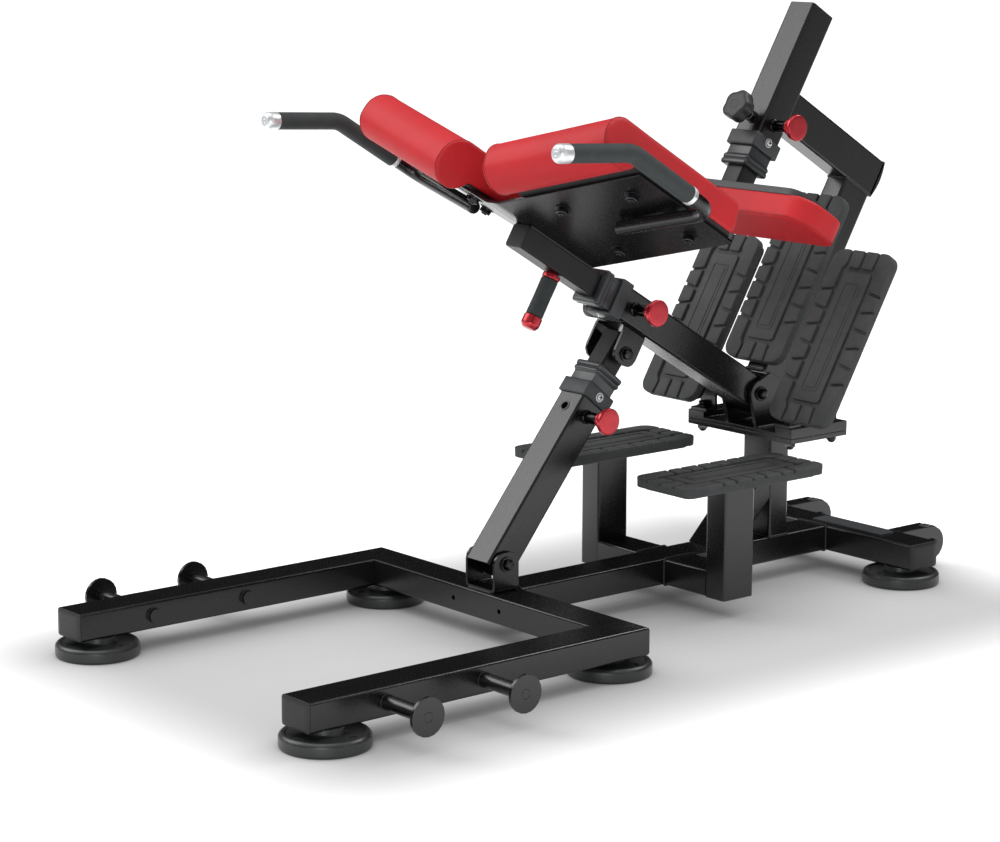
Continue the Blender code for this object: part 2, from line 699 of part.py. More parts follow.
def tower_base(bench):
    """Bolted base of the tower: plate, side blocks, pivot cheeks and the post's saddle."""
    floor_z = PLATFORM_TOP_Z + GAP
    plate_top = floor_z + TOWER_PLATE_T
    rear_y = PLATFORM_FRONT_Y + PLATFORM_DEPTH
    base = box('tower_base', (-PLATFORM_HALF_X, PLATFORM_FRONT_Y, floor_z), (PLATFORM_HALF_X, rear_y, plate_top))
    for side in (1, -1):
        inner = PLATFORM_HALF_X - TOWER_BLOCK_W
        xs = sorted((side * inner, side * PLATFORM_HALF_X))
        weld_on(base, box('block', (xs[0], PLATFORM_FRONT_Y, floor_z), (xs[1], rear_y, BLOCK_TOP_Z)))
    for x, y in platform_bolts():
        cut(base, rod('hole', PLATFORM_BOLT_HOLE_D, 4 * TOWER_BLOCK_T, 'Z', (x, y, floor_z), 12))
    foot_front = PLATFORM_FRONT_Y + CHEEK_FOOT_FRONT
    foot_z = plate_top - TOWER_PLATE_T / 2
    outline = [(foot_front, foot_z), (foot_front + CHEEK_FOOT_L, foot_z)]
    outline += [tilted(TOWER_POST_REAR, SADDLE_LOW + SADDLE_T / 2), tilted(TOWER_POST_FRONT, SADDLE_LOW + SADDLE_T / 2)]
    outline += arc(BEAM_PIVOT.y, BEAM_PIVOT.z, CHEEK_ROUND, 95, 190, 6)
    for side in (1, -1):
        cheek = prism('cheek', (outline,), CHEEK_T, 'X', (side * (CHEEK_IN + CHEEK_T / 2), 0.0, 0.0))
        weld_on(base, cheek)
    saddle = box('saddle', (-CHEEK_IN - CHEEK_T, -TOWER_POST_FRONT, SADDLE_LOW),
                 (CHEEK_IN + CHEEK_T, -TOWER_POST_REAR, SADDLE_LOW + SADDLE_T))
    saddle.matrix_world = Matrix.Translation(BEAM_PIVOT) @ TILT_TURN @ Matrix.Translation(
        (0.0, -(TOWER_POST_FRONT + TOWER_POST_REAR) / 2, SADDLE_LOW + SADDLE_T / 2))
    weld_on(base, saddle)
    cut(base, rod('bore', PIVOT_PIN_D + 2 * GAP, 4 * CHEEK_IN, 'X', BEAM_PIVOT, 16))
    finish(base, 'black_steel', bench)


def tower(lean):
    """Leaning post with the centre backing, the upper arm and the leg pad's outer tube."""
    low = SADDLE_LOW + SADDLE_T + GAP
    high = TOWER_ARM_LOW - GAP
    mid_y = -(TOWER_POST_FRONT + TOWER_POST_REAR) / 2
    post = square_tube('tower_post', (TUBE_H, TUBE_W), TUBE_WALL, TUBE_ROUND, high - low, 'Z',
                       (0.0, mid_y, (low + high) / 2))
    back = box('back', (-TREAD_W / 2 + BACKING_INSET, -TREAD_BACK + GAP, CENTRE_PLATE_LOW + BACKING_INSET),
               (TREAD_W / 2 - BACKING_INSET, -TOWER_POST_FRONT + TUBE_WALL / 3,
                CENTRE_PLATE_LOW + TREAD_L - BACKING_INSET))
    weld_on(post, back)
    finish(post, 'black_steel', lean)
    front = LEG_AT - OUTER_SQ / 2 - GAP
    arm = square_tube('tower_arm', (TUBE_H, TUBE_W), TUBE_WALL, TUBE_ROUND, front + TOWER_ARM_REAR, 'Y',
                      (0.0, -(front - TOWER_ARM_REAR) / 2, TOWER_ARM_LOW + TUBE_W / 2))
    finish(arm, 'black_steel', lean)
    tube = square_tube('leg_post_outer', (OUTER_SQ, OUTER_SQ), OUTER_WALL, TUBE_ROUND, LEG_TUBE_TOP - LEG_MOUTH, 'Z',
                       (0.0, -LEG_AT, (LEG_TUBE_TOP + LEG_MOUTH) / 2))
    pin_z = LEG_MOUTH + PIN_BACK
    pull_boss(tube, (0.0, -LEG_AT, pin_z))
    nut = rod('nut', STAR_NUT_D, STAR_NUT_L, 'Y', (0.0, -LEG_AT - OUTER_SQ / 2 - STAR_NUT_L / 2 + 0.001, pin_z), 12)
    weld_on(tube, nut)
    cut(tube, rod('hole', STAR_STEM_D + 2 * GAP, 0.06, 'Y', (0.0, -LEG_AT - OUTER_SQ / 2, pin_z), 16))
    finish(tube, 'black_steel', lean)
    collar_and_bush('leg', (0.0, -LEG_AT, LEG_MOUTH), (0.0, 0.0, -1.0), lean)
    axis = frame('leg_star_axis', (0.0, -LEG_AT - OUTER_SQ / 2, pin_z), math.radians(90), lean)
    star_knob('leg_tension_knob', axis)
    pull_pin('leg_pull_pin', (0.0, -LEG_AT, pin_z), lean)


def pull_boss(tube, centre):
    """Weld the pull pin's guide to a tube's +X side and bore the guide and the wall."""
    x, y, z = centre
    start = OUTER_SQ / 2 - OUTER_WALL / 2
    stop = OUTER_SQ / 2 + BOSS_L
    weld_on(tube, rod('boss', BOSS_D, stop - start, 'X', (x + (start + stop) / 2, y, z), 16))
    cut(tube, rod('bore', PIN_BORE_D, 3 * BOSS_L, 'X', (x + OUTER_SQ / 2 + BOSS_L * 0.9, y, z), 16))


def pull_pin(name, centre, parent):
    """Plunger with its round knob; it slides along +X in the guide."""
    tip = PIN_TIP
    neck = OUTER_SQ / 2 + BOSS_L + GAP
    end = neck + PULL_KNOB_L
    knob = PULL_KNOB_D / 2
    profile = [(0.0, end), (knob, end), (knob, end - PULL_KNOB_DISC_T),
               (PULL_NECK_D / 2, end - PULL_KNOB_DISC_T - PULL_KNOB_TAPER), (PULL_NECK_D / 2, neck),
               (PIN_D / 2, neck), (PIN_D / 2, tip), (0.0, tip)]
    holder = frame(f'{name}_axis', centre, 0.0, parent)
    finish(turned(name, profile, 'X', (0.0, 0.0, 0.0), 20), 'red_metal', holder)


def star_knob(name, parent):
    """Lobed knob along +Z of its frame, whose origin is on the tube's face."""
    start = STAR_NUT_L + STAR_STEM_L
    points = []
    steps_per_lobe = 6
    count = STAR_KNOB_LOBES * steps_per_lobe
    for step in range(count):
        angle = 2 * math.pi * step / count
        dip = STAR_KNOB_LOBE * (1 - math.cos(STAR_KNOB_LOBES * angle)) / 2
        radius = STAR_KNOB_D / 2 - dip
        points.append((radius * math.cos(angle), radius * math.sin(angle)))
    knob = prism(name, (points,), STAR_KNOB_L, 'Z', (0.0, 0.0, start + STAR_KNOB_L / 2))
    tip = PIN_TIP - OUTER_SQ / 2
    stem = rod('stem', STAR_STEM_D, start + STAR_KNOB_L / 2 - tip, 'Z',
               (0.0, 0.0, (start + STAR_KNOB_L / 2 + tip) / 2), 16)
    weld_on(knob, stem)
    finish(knob, 'grip_rubber', parent)


def collar_and_bush(word, mouth, out, parent):
    """Collar around an outer tube's mouth and the plastic bush in it; out points out of the mouth."""
    mouth = Vector(mouth)
    out = Vector(out)
    axis = 'Y' if abs(out.y) > 0.5 else 'Z'
    hole = rounded_box(OUTER_SQ + 2 * GAP, OUTER_SQ + 2 * GAP, TUBE_ROUND)
    centre = mouth + out * (COLLAR_LIP - COLLAR_L / 2)
    collar = prism(f'{word}_collar', (rounded_box(COLLAR_SQ, COLLAR_SQ, COLLAR_ROUND), hole), COLLAR_L, axis, centre)
    finish(collar, 'collar_plastic', parent)
    bore = rounded_box(INNER_SQ + 2 * GAP, INNER_SQ + 2 * GAP, INNER_ROUND)
    body = prism(f'{word}_bush', (rounded_box(BUSH_BODY_SQ, BUSH_BODY_SQ, BUSH_ROUND, 1), bore), BUSH_BODY_L, axis,
                 mouth + out * (GAP + BUSH_BODY_L / 2))
    lap = 0.001
    flange = prism('flange', (rounded_box(BUSH_FLANGE_SQ, BUSH_FLANGE_SQ, BUSH_ROUND, 1), bore), BUSH_FLANGE_L + lap, axis,
                   mouth + out * (GAP + BUSH_BODY_L + (BUSH_FLANGE_L - lap) / 2))
    inside = OUTER_SQ - 2 * OUTER_WALL - 2 * GAP
    sleeve = prism('sleeve', (rounded_box(inside, inside, BUSH_ROUND / 2, 1), bore), BUSH_SLEEVE_L + lap, axis,
                   mouth + out * (GAP - (BUSH_SLEEVE_L - lap) / 2))
    weld_on(body, flange, sleeve)
    finish(body, 'bush_plastic', parent)


def beam(swing):
    """Outer tube of the beam with its clevis, collar, bush, pull pin and tension knob."""
    middle = (BEAM_MOUTH - BEAM_TAIL) / 2
    tube = square_tube('beam_outer', (OUTER_SQ, OUTER_SQ), OUTER_WALL, TUBE_ROUND, BEAM_MOUTH + BEAM_TAIL, 'Y',
                       (0.0, -middle, 0.0))
    clevis = clevis_body('clevis')
    clevis.location = (0.0, -CLEVIS_AT, -OUTER_SQ / 2)
    clevis.rotation_euler = (math.pi, 0.0, 0.0)
    weld_on(tube, clevis)
    cut(tube, rod('bore', PIVOT_PIN_D + 2 * GAP, 2 * OUTER_SQ, 'X', (0.0, 0.0, 0.0), 16))
    pin_y = -(BEAM_MOUTH - PIN_BACK)
    pull_boss(tube, (0.0, pin_y, 0.0))
    weld_on(tube, rod('nut', STAR_NUT_D, STAR_NUT_L, 'X', (-OUTER_SQ / 2 - STAR_NUT_L / 2 + 0.001, pin_y, 0.0), 12))
    cut(tube, rod('hole', STAR_STEM_D + 2 * GAP, 0.06, 'X', (-OUTER_SQ / 2, pin_y, 0.0), 16))
    finish(tube, 'black_steel', swing)
    collar_and_bush('beam', (0.0, -BEAM_MOUTH, 0.0), (0.0, -1.0, 0.0), swing)
    axis = frame('beam_star_axis', (-OUTER_SQ / 2, pin_y, 0.0), 0.0, swing)
    axis.rotation_euler = (0.0, math.radians(-90), 0.0)
    star_knob('beam_tension_knob', axis)
    pull_pin('beam_pull_pin', (0.0, pin_y, 0.0), swing)


def pivot_bolt(name, grip_half, parent, at=(0.0, 0.0, 0.0)):
    """Bolt along X with a washer and a hexagon at each end; grip_half is the clamped half width."""
    seat = grip_half + GAP
    bolt = rod(name, PIVOT_PIN_D, 2 * seat + WASHER_T, 'X', at, 16)
    hexagon = [(radius_u, radius_v) for radius_u, radius_v in arc(0.0, 0.0, HEX_AF / math.sqrt(3), 0, 300, 5)]
    for side in (1, -1):
        weld_on(bolt, rod('washer', WASHER_D, WASHER_T, 'X', (side * (seat + WASHER_T / 2), at[1], at[2]), 16))
        head = prism('head', (hexagon,), HEX_T + WASHER_T / 2, 'X',
                     (side * (seat + WASHER_T + (HEX_T - WASHER_T / 2) / 2), at[1], at[2]))
        weld_on(bolt, head)
    return finish(bolt, 'bolt_steel', parent)


def strut(swing, slide):
    """Outer and inner tubes of the strut, on the frame at its lower pin with +Z up the strut."""
    middle = (STRUT_MOUTH - STRUT_TAIL) / 2
    tube = square_tube('strut_outer', (OUTER_SQ, OUTER_SQ), OUTER_WALL, TUBE_ROUND, STRUT_MOUTH + STRUT_TAIL, 'Z',
                       (0.0, 0.0, middle))
    ring_out = CLEVIS_HALF_X - CLEVIS_T - RUN / 2
    ring_in = OUTER_SQ / 2 - OUTER_WALL / 2
    for side in (1, -1):
        weld_on(tube, rod('spacer', WASHER_D, ring_out - ring_in, 'X', (side * (ring_out + ring_in) / 2, 0.0, 0.0), 16))
    cut(tube, rod('bore', PIVOT_PIN_D + 2 * GAP, 3 * OUTER_SQ, 'X', (0.0, 0.0, 0.0), 16))
    pin_z = STRUT_MOUTH - PIN_BACK
    pull_boss(tube, (0.0, 0.0, pin_z))
    cut(tube, rod('hole', STRUT_HOLE_D, 0.02, 'Y', (0.0, -OUTER_SQ / 2, pin_z), 16))
    finish(tube, 'black_steel', swing)
    collar_and_bush('strut', (0.0, 0.0, STRUT_MOUTH), (0.0, 0.0, 1.0), swing)
    pull_pin('strut_pull_pin', (0.0, 0.0, pin_z), swing)
    top = STRUT_LENGTH + STRUT_HEAD
    inner = square_tube('strut_inner', (INNER_SQ, INNER_SQ), INNER_WALL, INNER_ROUND, top - STRUT_INNER_LOW, 'Z',
                        (0.0, 0.0, (top + STRUT_INNER_LOW) / 2))
    float_d = PIVOT_PIN_D + 2 * STRUT_PIN_FLOAT
    barrel_half = CLEVIS_HALF_X - CLEVIS_T - RUN / 2
    barrel = rod('barrel', float_d + 2 * BARREL_WALL, 2 * barrel_half, 'X', (0.0, 0.0, STRUT_LENGTH), 18)
    weld_on(inner, barrel)
    cut(inner, rod('bore', float_d, 3 * barrel_half, 'X', (0.0, 0.0, STRUT_LENGTH), 18))
    finish(inner, 'black_steel', slide)


def wing_place(side, along, reach, height):
    """Point of a wing in the beam frame: along it, ahead of the pivot, and above its underside."""
    x = V_FLAT_HALF + along * math.cos(V_ANGLE) - height * math.sin(V_ANGLE)
    z = PLATE_UNDER + along * math.sin(V_ANGLE) + height * math.cos(V_ANGLE)
    return Vector((side * x, -reach, z))


def pads(slide):
    """V plate on the beam's inner tube, and the two hip pads with their front rolls."""
    bend = math.tan(V_ANGLE / 2) * PLATE_T
    under = wing_place(1, PLATE_WING, 0.0, 0.0)
    over = wing_place(1, PLATE_WING, 0.0, PLATE_T)
    right = [(V_FLAT_HALF, PLATE_UNDER), (under.x, under.z), (over.x, over.z), (V_FLAT_HALF - bend, PLATE_UNDER + PLATE_T)]
    left = [(-x, z) for x, z in reversed(right)]
    plate = prism('pad_plate', (right + left,), PLATE_FRONT - PLATE_REAR, 'Y', (0.0, -(PLATE_FRONT + PLATE_REAR) / 2, 0.0))
    for side in (1, -1):
        for along in PAD_BOLT_S:
            for reach in PAD_BOLT_B:
                drill = rod('drill', PAD_BOLT_HOLE_D, 6 * PLATE_T, 'Z', wing_place(side, along, reach, PLATE_T / 2), 12)
                drill.rotation_euler = (0.0, -side * V_ANGLE, 0.0)
                cut(plate, drill)
    finish(plate, 'black_steel', slide)
    low = PLATE_T + GAP
    top = low + PAD_T
    roll_h = top - PAD_ROLL_R
    under_roll = math.degrees(math.asin((low - roll_h) / PAD_ROLL_R))
    outline = arc(-PAD_REAR - PAD_EDGE, low + PAD_EDGE, PAD_EDGE, 270, 360, 2)
    outline += arc(-PAD_REAR - PAD_EDGE, top - PAD_EDGE, PAD_EDGE, 0, 90, 2)
    outline += arc(-PAD_ROLL_AT, roll_h, PAD_ROLL_R, 90, 360 + under_roll, 12)
    for side, word in ((1, 'near'), (-1, 'far')):
        pad = prism(f'hip_pad_{word}', (outline,), PAD_OUTER - PAD_INNER, 'X')
        pad.location = wing_place(side, (PAD_OUTER + PAD_INNER) / 2, 0.0, 0.0)
        pad.rotation_euler = (0.0, -side * V_ANGLE, 0.0)
        finish(pad, 'red_vinyl', slide)


def handle_path(side):
    """Corners of a side handle in the beam frame, from its inner end to the level end."""
    inner = wing_place(side, HANDLE_INNER, HANDLE_AT, -HANDLE_DROP)
    corner = Vector((side * HANDLE_X, -HANDLE_AT, HANDLE_RAISE))
    bend = Vector((side * HANDLE_X, -HANDLE_BEND_AT, HANDLE_RAISE))
    fall = TILT - HANDLE_LIFT
    level = Vector((0.0, -math.cos(fall), -math.sin(fall)))
    return inner, corner, bend, bend + level * HANDLE_LEVEL


def handles(slide):
    """Side handles: the bent bar with its end cap, and the grip around it."""
    for side, word in ((1, 'near'), (-1, 'far')):
        inner, corner, bend, end = handle_path(side)
        level = (end - bend).normalized()
        path = bent_path((inner, corner, bend, end - level * 0.004), (HANDLE_CORNER, HANDLE_SWEEP))
        bar = swept(f'handle_bar_{word}', path, HANDLE_D)
        cap_mid = end - level * HANDLE_CAP_L / 2
        cap = rod('cap', HANDLE_CAP_D, HANDLE_CAP_L, 'Y', (0.0, 0.0, 0.0), 20)
        cap.matrix_world = Matrix.Translation(cap_mid) @ Matrix.Rotation(TILT - HANDLE_LIFT, 4, 'X')
        weld_on(bar, cap)
        for along in (HANDLE_INNER + 0.020, PLATE_WING - 0.030):
            lug = box('lug', (-0.012, -0.006, -HANDLE_DROP / 2), (0.012, 0.006, HANDLE_DROP / 2 - GAP))
            lug.matrix_world = Matrix.Translation(wing_place(side, along, HANDLE_AT, -HANDLE_DROP / 2)) @ Matrix.Rotation(
                -side * V_ANGLE, 4, 'Y')
            weld_on(bar, lug)
        finish(bar, 'black_steel', slide)
        grip_start = Vector((side * HANDLE_X, -HANDLE_GRIP_FROM, HANDLE_RAISE))
        grip_end = end - level * (HANDLE_CAP_L + GAP)
        grip = swept(f'handle_grip_{word}', bent_path((grip_start, bend, grip_end), (HANDLE_SWEEP,)), HANDLE_GRIP_D)
        finish(cut(grip, swept('core', path, HANDLE_D + 2 * GAP)), 'grip_rubber', slide)


def beam_inner(slide):
    """Inner tube of the beam and the adjusting handle under it."""
    tube = square_tube('beam_inner', (INNER_SQ, INNER_SQ), INNER_WALL, INNER_ROUND, BEAM_INNER_FRONT - BEAM_INNER_REAR,
                       'Y', (0.0, -(BEAM_INNER_FRONT + BEAM_INNER_REAR) / 2, 0.0))
    finish(tube, 'black_steel', slide)
    top = -INNER_SQ / 2 - GAP
    collar_low = top - ADJUST_COLLAR_L
    grip_low = collar_low - ADJUST_GRIP_L
    end = grip_low - ADJUST_CAP_L
    wide = ADJUST_COLLAR_D / 2
    core = ADJUST_ROD_D / 2
    profile = [(0.0, top), (wide, top), (wide, collar_low), (core, collar_low), (core, grip_low), (wide, grip_low)]
    profile += arc(wide - ADJUST_CAP_ROUND, end + ADJUST_CAP_ROUND, ADJUST_CAP_ROUND, 0, -90, 2)
    profile += [(0.0, end)]
    handle = turned('adjust_handle', profile, 'Z', (0.0, -ADJUST_AT, 0.0), 20)
    finish(handle, 'red_metal', slide)
    outer = ADJUST_GRIP_D / 2
    inner = core + GAP
    high = collar_low - GAP
    low = grip_low + GAP
    sleeve = [(inner, high), (outer, high), (outer, low), (inner, low), (inner, high)]
    finish(turned('adjust_grip', sleeve, 'Z', (0.0, -ADJUST_AT, 0.0), 20), 'grip_rubber', slide)


def leg_pad(slide):
    """Inner tube of the leg pad's post with the backing plate welded to it, and the pad under it."""
    seat = LEG_PAD_TOP + GAP + LEG_BACKING_T
    low = seat - LEG_BACKING_T / 3
    tube = square_tube('leg_post_inner', (INNER_SQ, INNER_SQ), INNER_WALL, INNER_ROUND, LEG_INNER_TOP - low, 'Z',
                       (0.0, -LEG_AT, (LEG_INNER_TOP + low) / 2))
    depth = LEG_PAD_FRONT - LEG_PAD_REAR - LEG_BACKING_REAR_INSET
    backing = rounded_box(2 * (LEG_PAD_HALF - LEG_BACKING_INSET), depth, LEG_BACKING_ROUND)
    weld_on(tube, prism('backing', (backing,), LEG_BACKING_T, 'Z', (0.0, depth / 2 - LEG_PAD_FRONT, seat - LEG_BACKING_T / 2)))
    finish(tube, 'black_steel', slide)
    pad = prism('leg_pad', (leg_pad_outline(),), LEG_PAD_T, 'Z', (0.0, 0.0, LEG_PAD_TOP - LEG_PAD_T / 2))
    finish(pad, 'red_vinyl', slide)


def leg_pad_outline():
    """Plan of the leg pad: large round corners in front, smaller ones behind."""
    half, front, rear = LEG_PAD_HALF, -LEG_PAD_FRONT, -LEG_PAD_REAR
    big, small = LEG_PAD_FRONT_ROUND, LEG_PAD_REAR_ROUND
    outline = arc(half - small, rear - small, small, 0, 90, 4)
    outline += arc(-half + small, rear - small, small, 90, 180, 4)
    outline += arc(-half + big, front + big, big, 180, 270, 6)
    outline += arc(half - big, front + big, big, 270, 360, 6)
    return outline


def foot_plates(bench, lean):
    """Three rubber foot plates and the bent brackets that carry the outer two."""
    face_y = -(PLATE_FACE + TREAD_BACK) / 2
    places = (('near', SIDE_PLATE_X, SIDE_PLATE_LOW), ('centre', 0.0, CENTRE_PLATE_LOW), ('far', -SIDE_PLATE_X, SIDE_PLATE_LOW))
    for word, x, low in places:
        finish(tread(f'foot_plate_{word}', 'Y', (x, face_y, low + TREAD_L / 2)), 'tread_rubber', lean)
    back_front = TREAD_BACK - GAP
    back_rear = back_front - BACKING_T
    leg_back = PLATFORM_FRONT_Y + BRACKET_LEG_AT
    foot_z = BLOCK_TOP_Z + GAP
    turn = Matrix.Translation(BEAM_PIVOT) @ TILT_TURN
    for side, word in ((1, 'near'), (-1, 'far')):
        inner = BRACKET_IN + BACKING_INSET
        outer = SIDE_PLATE_X + TREAD_W / 2 - BACKING_INSET
        centre = Vector((side * (inner + outer) / 2, -(back_front + back_rear) / 2, SIDE_PLATE_LOW + TREAD_L / 2))
        outline = rounded_box(outer - inner, TREAD_L - 2 * BACKING_INSET, BACKING_ROUND)
        plate = prism(f'foot_plate_bracket_{word}', (outline,), BACKING_T, 'Y')
        plate.matrix_world = turn @ Matrix.Translation(centre)
        xs = sorted((side * BRACKET_IN, side * (BRACKET_IN + BRACKET_W)))
        reach = leg_back - BEAM_PIVOT.y + back_rear * math.cos(TILT)
        leg_high = BEAM_PIVOT.z + back_rear * math.sin(TILT) + reach / math.tan(TILT) + BACKING_T / 4 / math.sin(TILT)
        foot = box('foot', (xs[0], PLATFORM_FRONT_Y + 0.001, foot_z), (xs[1], leg_back, foot_z + BRACKET_T))
        leg = box('leg', (xs[0], leg_back - BRACKET_T, foot_z), (xs[1], leg_back, leg_high))
        weld_on(plate, leg, foot)
        x = side * PLATFORM_BOLT_X
        y = PLATFORM_Y - PLATFORM_BOLT_SPACING / 2
        cut(plate, rod('hole', PLATFORM_BOLT_HOLE_D, 4 * BRACKET_T, 'Z', (x, y, foot_z), 12))
        finish(plate, 'black_steel', bench)


def build():
    bench = frame('bench', (0.0, 0.0, 0.0))
    lean = frame('tower_lean', BEAM_PIVOT, -TILT, bench)
    swing = frame('beam_pivot', BEAM_PIVOT, -TILT, bench)
    slide = frame('beam_slide', (0.0, 0.0, 0.0), 0.0, swing)
    leg_slide = frame('leg_pad_slide', (0.0, 0.0, 0.0), 0.0, lean)
    strut_swing = frame('strut_pivot', STRUT_PIVOT, STRUT_LEAN, bench)
    strut_slide = frame('strut_slide', (0.0, 0.0, 0.0), 0.0, strut_swing)
    base_tubes(bench)
    feet(bench)
    wheels(bench)
    steps(bench)
    rear_post(bench)
    tower_base(bench)
    tower(lean)
    foot_plates(bench, lean)
    beam(swing)
    beam_inner(slide)
    pads(slide)
    handles(slide)
    strut(strut_swing, strut_slide)
    leg_pad(leg_slide)
    pivot_bolt('beam_pivot_bolt', CHEEK_IN + CHEEK_T, lean)
    pivot_bolt('strut_lower_bolt', CLEVIS_HALF_X, strut_swing)
    pivot_bolt('strut_upper_bolt', CLEVIS_HALF_X, swing, (0.0, -CLEVIS_AT, CLEVIS_PIN_N))


clear_scene()
PARTS = new_collection('hyperextension_bench')
build()
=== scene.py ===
"""Looks of the hyperextension bench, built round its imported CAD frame.

Row frame, metres: +Z up, +X the side of the pull knobs, -Y the open end of the base. Parts of the
tower and the beam are laid out in BEAM, a frame on the beam's pivot whose -Y points up the beam,
and parts of the strut in STRUT, whose +Z points up the strut. A turned profile is a row of
(radius, height) pairs, and a slab's layers are (inset, height) pairs.
"""
import math

import bmesh
import bpy
from bpy.props import FloatProperty, FloatVectorProperty, IntProperty, PointerProperty
from mathutils import Matrix, Vector
from mathutils.bvhtree import BVHTree


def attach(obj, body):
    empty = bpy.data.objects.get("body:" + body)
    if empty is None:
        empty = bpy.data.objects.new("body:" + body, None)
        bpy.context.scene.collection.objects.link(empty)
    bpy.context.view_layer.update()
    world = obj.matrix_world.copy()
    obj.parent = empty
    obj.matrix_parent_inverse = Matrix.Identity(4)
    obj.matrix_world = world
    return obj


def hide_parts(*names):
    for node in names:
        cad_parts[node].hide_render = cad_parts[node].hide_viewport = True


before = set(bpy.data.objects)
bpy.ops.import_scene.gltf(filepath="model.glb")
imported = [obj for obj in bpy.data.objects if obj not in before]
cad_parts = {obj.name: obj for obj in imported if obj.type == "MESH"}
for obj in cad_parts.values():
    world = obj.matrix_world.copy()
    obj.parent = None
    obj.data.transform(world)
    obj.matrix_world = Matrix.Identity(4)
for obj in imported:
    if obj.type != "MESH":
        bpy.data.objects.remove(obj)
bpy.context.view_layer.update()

bl_info = {
    "name": "Hyperextension bench looks",
    "version": (1, 0, 0),
    "blender": (4, 5, 0),
    "location": "3D View > Sidebar > Bench",
    "description": "Paint, pads, grips, treads, welds and fasteners of a hyperextension bench",
    "category": "Object",
}

# Places and sizes repeated from the CAD
BASE_HALF_WIDTH = 0.3791
ARM_LENGTH = 0.7146
SPINE_LENGTH = 0.7912
CROSSBAR_LENGTH = 0.5210
TUBE_W, TUBE_H, TUBE_ROUND = 0.0762, 0.0508, 0.0050
CROSS_REAR_Y = -0.1288
BASE_Z = 0.0370
PEG_FRONT, PEG_SPACING, PEG_D, PEG_DISC_D, PEG_REACH = 0.5655, 0.1990, 0.0254, 0.0650, 0.1060
WHEEL_X, WHEEL_Y, WHEEL_Z = 0.1540, 0.8284, 0.0520
STEP_Y, STEP_TREAD_X, STEP_TOP = 0.3896, 0.1740, 0.2770
TREAD_L, TREAD_W, TREAD_T, TREAD_ROUND = 0.3590, 0.1540, 0.0177, 0.0260
PLATFORM_Y, PLATFORM_LOW, BLOCK_TOP = 0.5276, 0.2950, 0.3235
TILT = math.radians(31.0)
BEAM_PIVOT = Vector((0.0, 0.4676, 0.3778))
STRUT_PIVOT = Vector((0.0, -0.1669, 0.1388))
STRUT_LEAN = math.radians(-38.7732)
STRUT_LENGTH = 0.453068
OUTER_SQ, INNER_SQ, INNER_WALL, INNER_ROUND = 0.0635, 0.04445, 0.0030, 0.0040
BEAM_MOUTH, BEAM_TAIL, BEAM_INNER_FRONT = 0.4290, 0.0320, 0.6720
STRUT_MOUTH = 0.3690
CLEVIS_AT, CLEVIS_RISE, CLEVIS_HALF_X = 0.3595, 0.0510, 0.0410
CHEEK_OUT = 0.0425
TOWER_ARM_LOW, TOWER_ARM_REAR = 0.4665, 0.0840
TOWER_POST_MID = 0.0391
LEG_AT, LEG_TUBE_TOP, LEG_MOUTH = 0.2368, 0.7040, 0.3990
LEG_PAD_TOP, LEG_PAD_T = 0.2967, 0.0497
LEG_PAD_FRONT, LEG_PAD_REAR, LEG_PAD_HALF = 0.3000, 0.1725, 0.2565
LEG_BACKING_T, LEG_BACKING_INSET, LEG_BACKING_REAR_INSET, LEG_INNER_TOP = 0.0090, 0.0245, 0.0100, 0.6400
PIN_BACK, BOSS_L = 0.0555, 0.0340
V_ANGLE = math.radians(15.0)
PLATE_T, PLATE_UNDER, V_FLAT_HALF = 0.0060, 0.022525, 0.0180
PAD_REAR, PAD_ROLL_AT, PAD_ROLL_R, PAD_T = 0.5065, 0.8150, 0.0454, 0.0679
PAD_INNER, PAD_OUTER, PLATE_FRONT = 0.0480, 0.3370, 0.7555
BOARD_T = 0.0070
HANDLE_X, HANDLE_RAISE, HANDLE_DROP, HANDLE_AT = 0.4050, 0.1060, 0.0150, 0.6330
HANDLE_LEVEL, HANDLE_LIFT, HANDLE_CAP_L = 0.1660, math.radians(3.0), 0.0270
HANDLE_INNER, HANDLE_BEND_AT, HANDLE_BEND = 0.1870, 0.8490, 0.055
COLLAR_SQ = 0.0730
ADJUST_AT = 0.5635

BEAM = Matrix.Translation(BEAM_PIVOT) @ Matrix.Rotation(-TILT, 4, "X")
STRUT = Matrix.Translation(STRUT_PIVOT) @ Matrix.Rotation(STRUT_LEAN, 4, "X")
SIDES = ((1, "near"), (-1, "far"))
BOTH = (1, -1)
NEAR, OPEN_END, UP = (1, 0, 0), (0, -1, 0), (0, 0, 1)
HERE = Matrix.Identity(4)

# Air between a piece and its neighbour, and how deep a raised form is rooted in what carries it
GAP, ROOT = 0.0003, 0.001
# Pitch of the thread's pull along a welt; the two depths are shares of a bead's width
WELT_PULL, WELT_DEPTH, WELD_DEPTH = 0.004, 0.05, 0.12

FLOOR_HALF = 150.0
CAMERA_PLACE, CAMERA_AIM = Vector((3.6906, -3.2088, 1.3212)), Vector((0.0, -0.1493, 0.3928))
CAMERA_LENS, CAMERA_SENSOR, CAMERA_REACH, CAMERA_ROLL = 98.04, 36.0, 500.0, math.radians(0.138)
# Name, kind, power, place, aim, and the sun's angle or a panel's width
LAMPS = (
    ("overhead", "SUN", 0.85, (0.0, -0.3, 3.0), (0.0, 0.0, 0.0), math.radians(38)),
    ("side_panel", "AREA", 14.0, (3.6, 0.6, 1.7), (0.0, 0.0, 0.5), 2.4),
    ("edge_panel", "AREA", 38.0, (2.7, -3.1, 0.65), (0.0, 0.0, 0.6), 1.5),
    ("rim_panel", "AREA", 60.0, (0.9, 2.9, 3.6), (0.0, 0.0, 0.5), 1.4),
    ("front_panel", "AREA", 112.0, (-2.8, -2.3, 3.2), (0.0, 0.0, 0.6), 3.0),
)
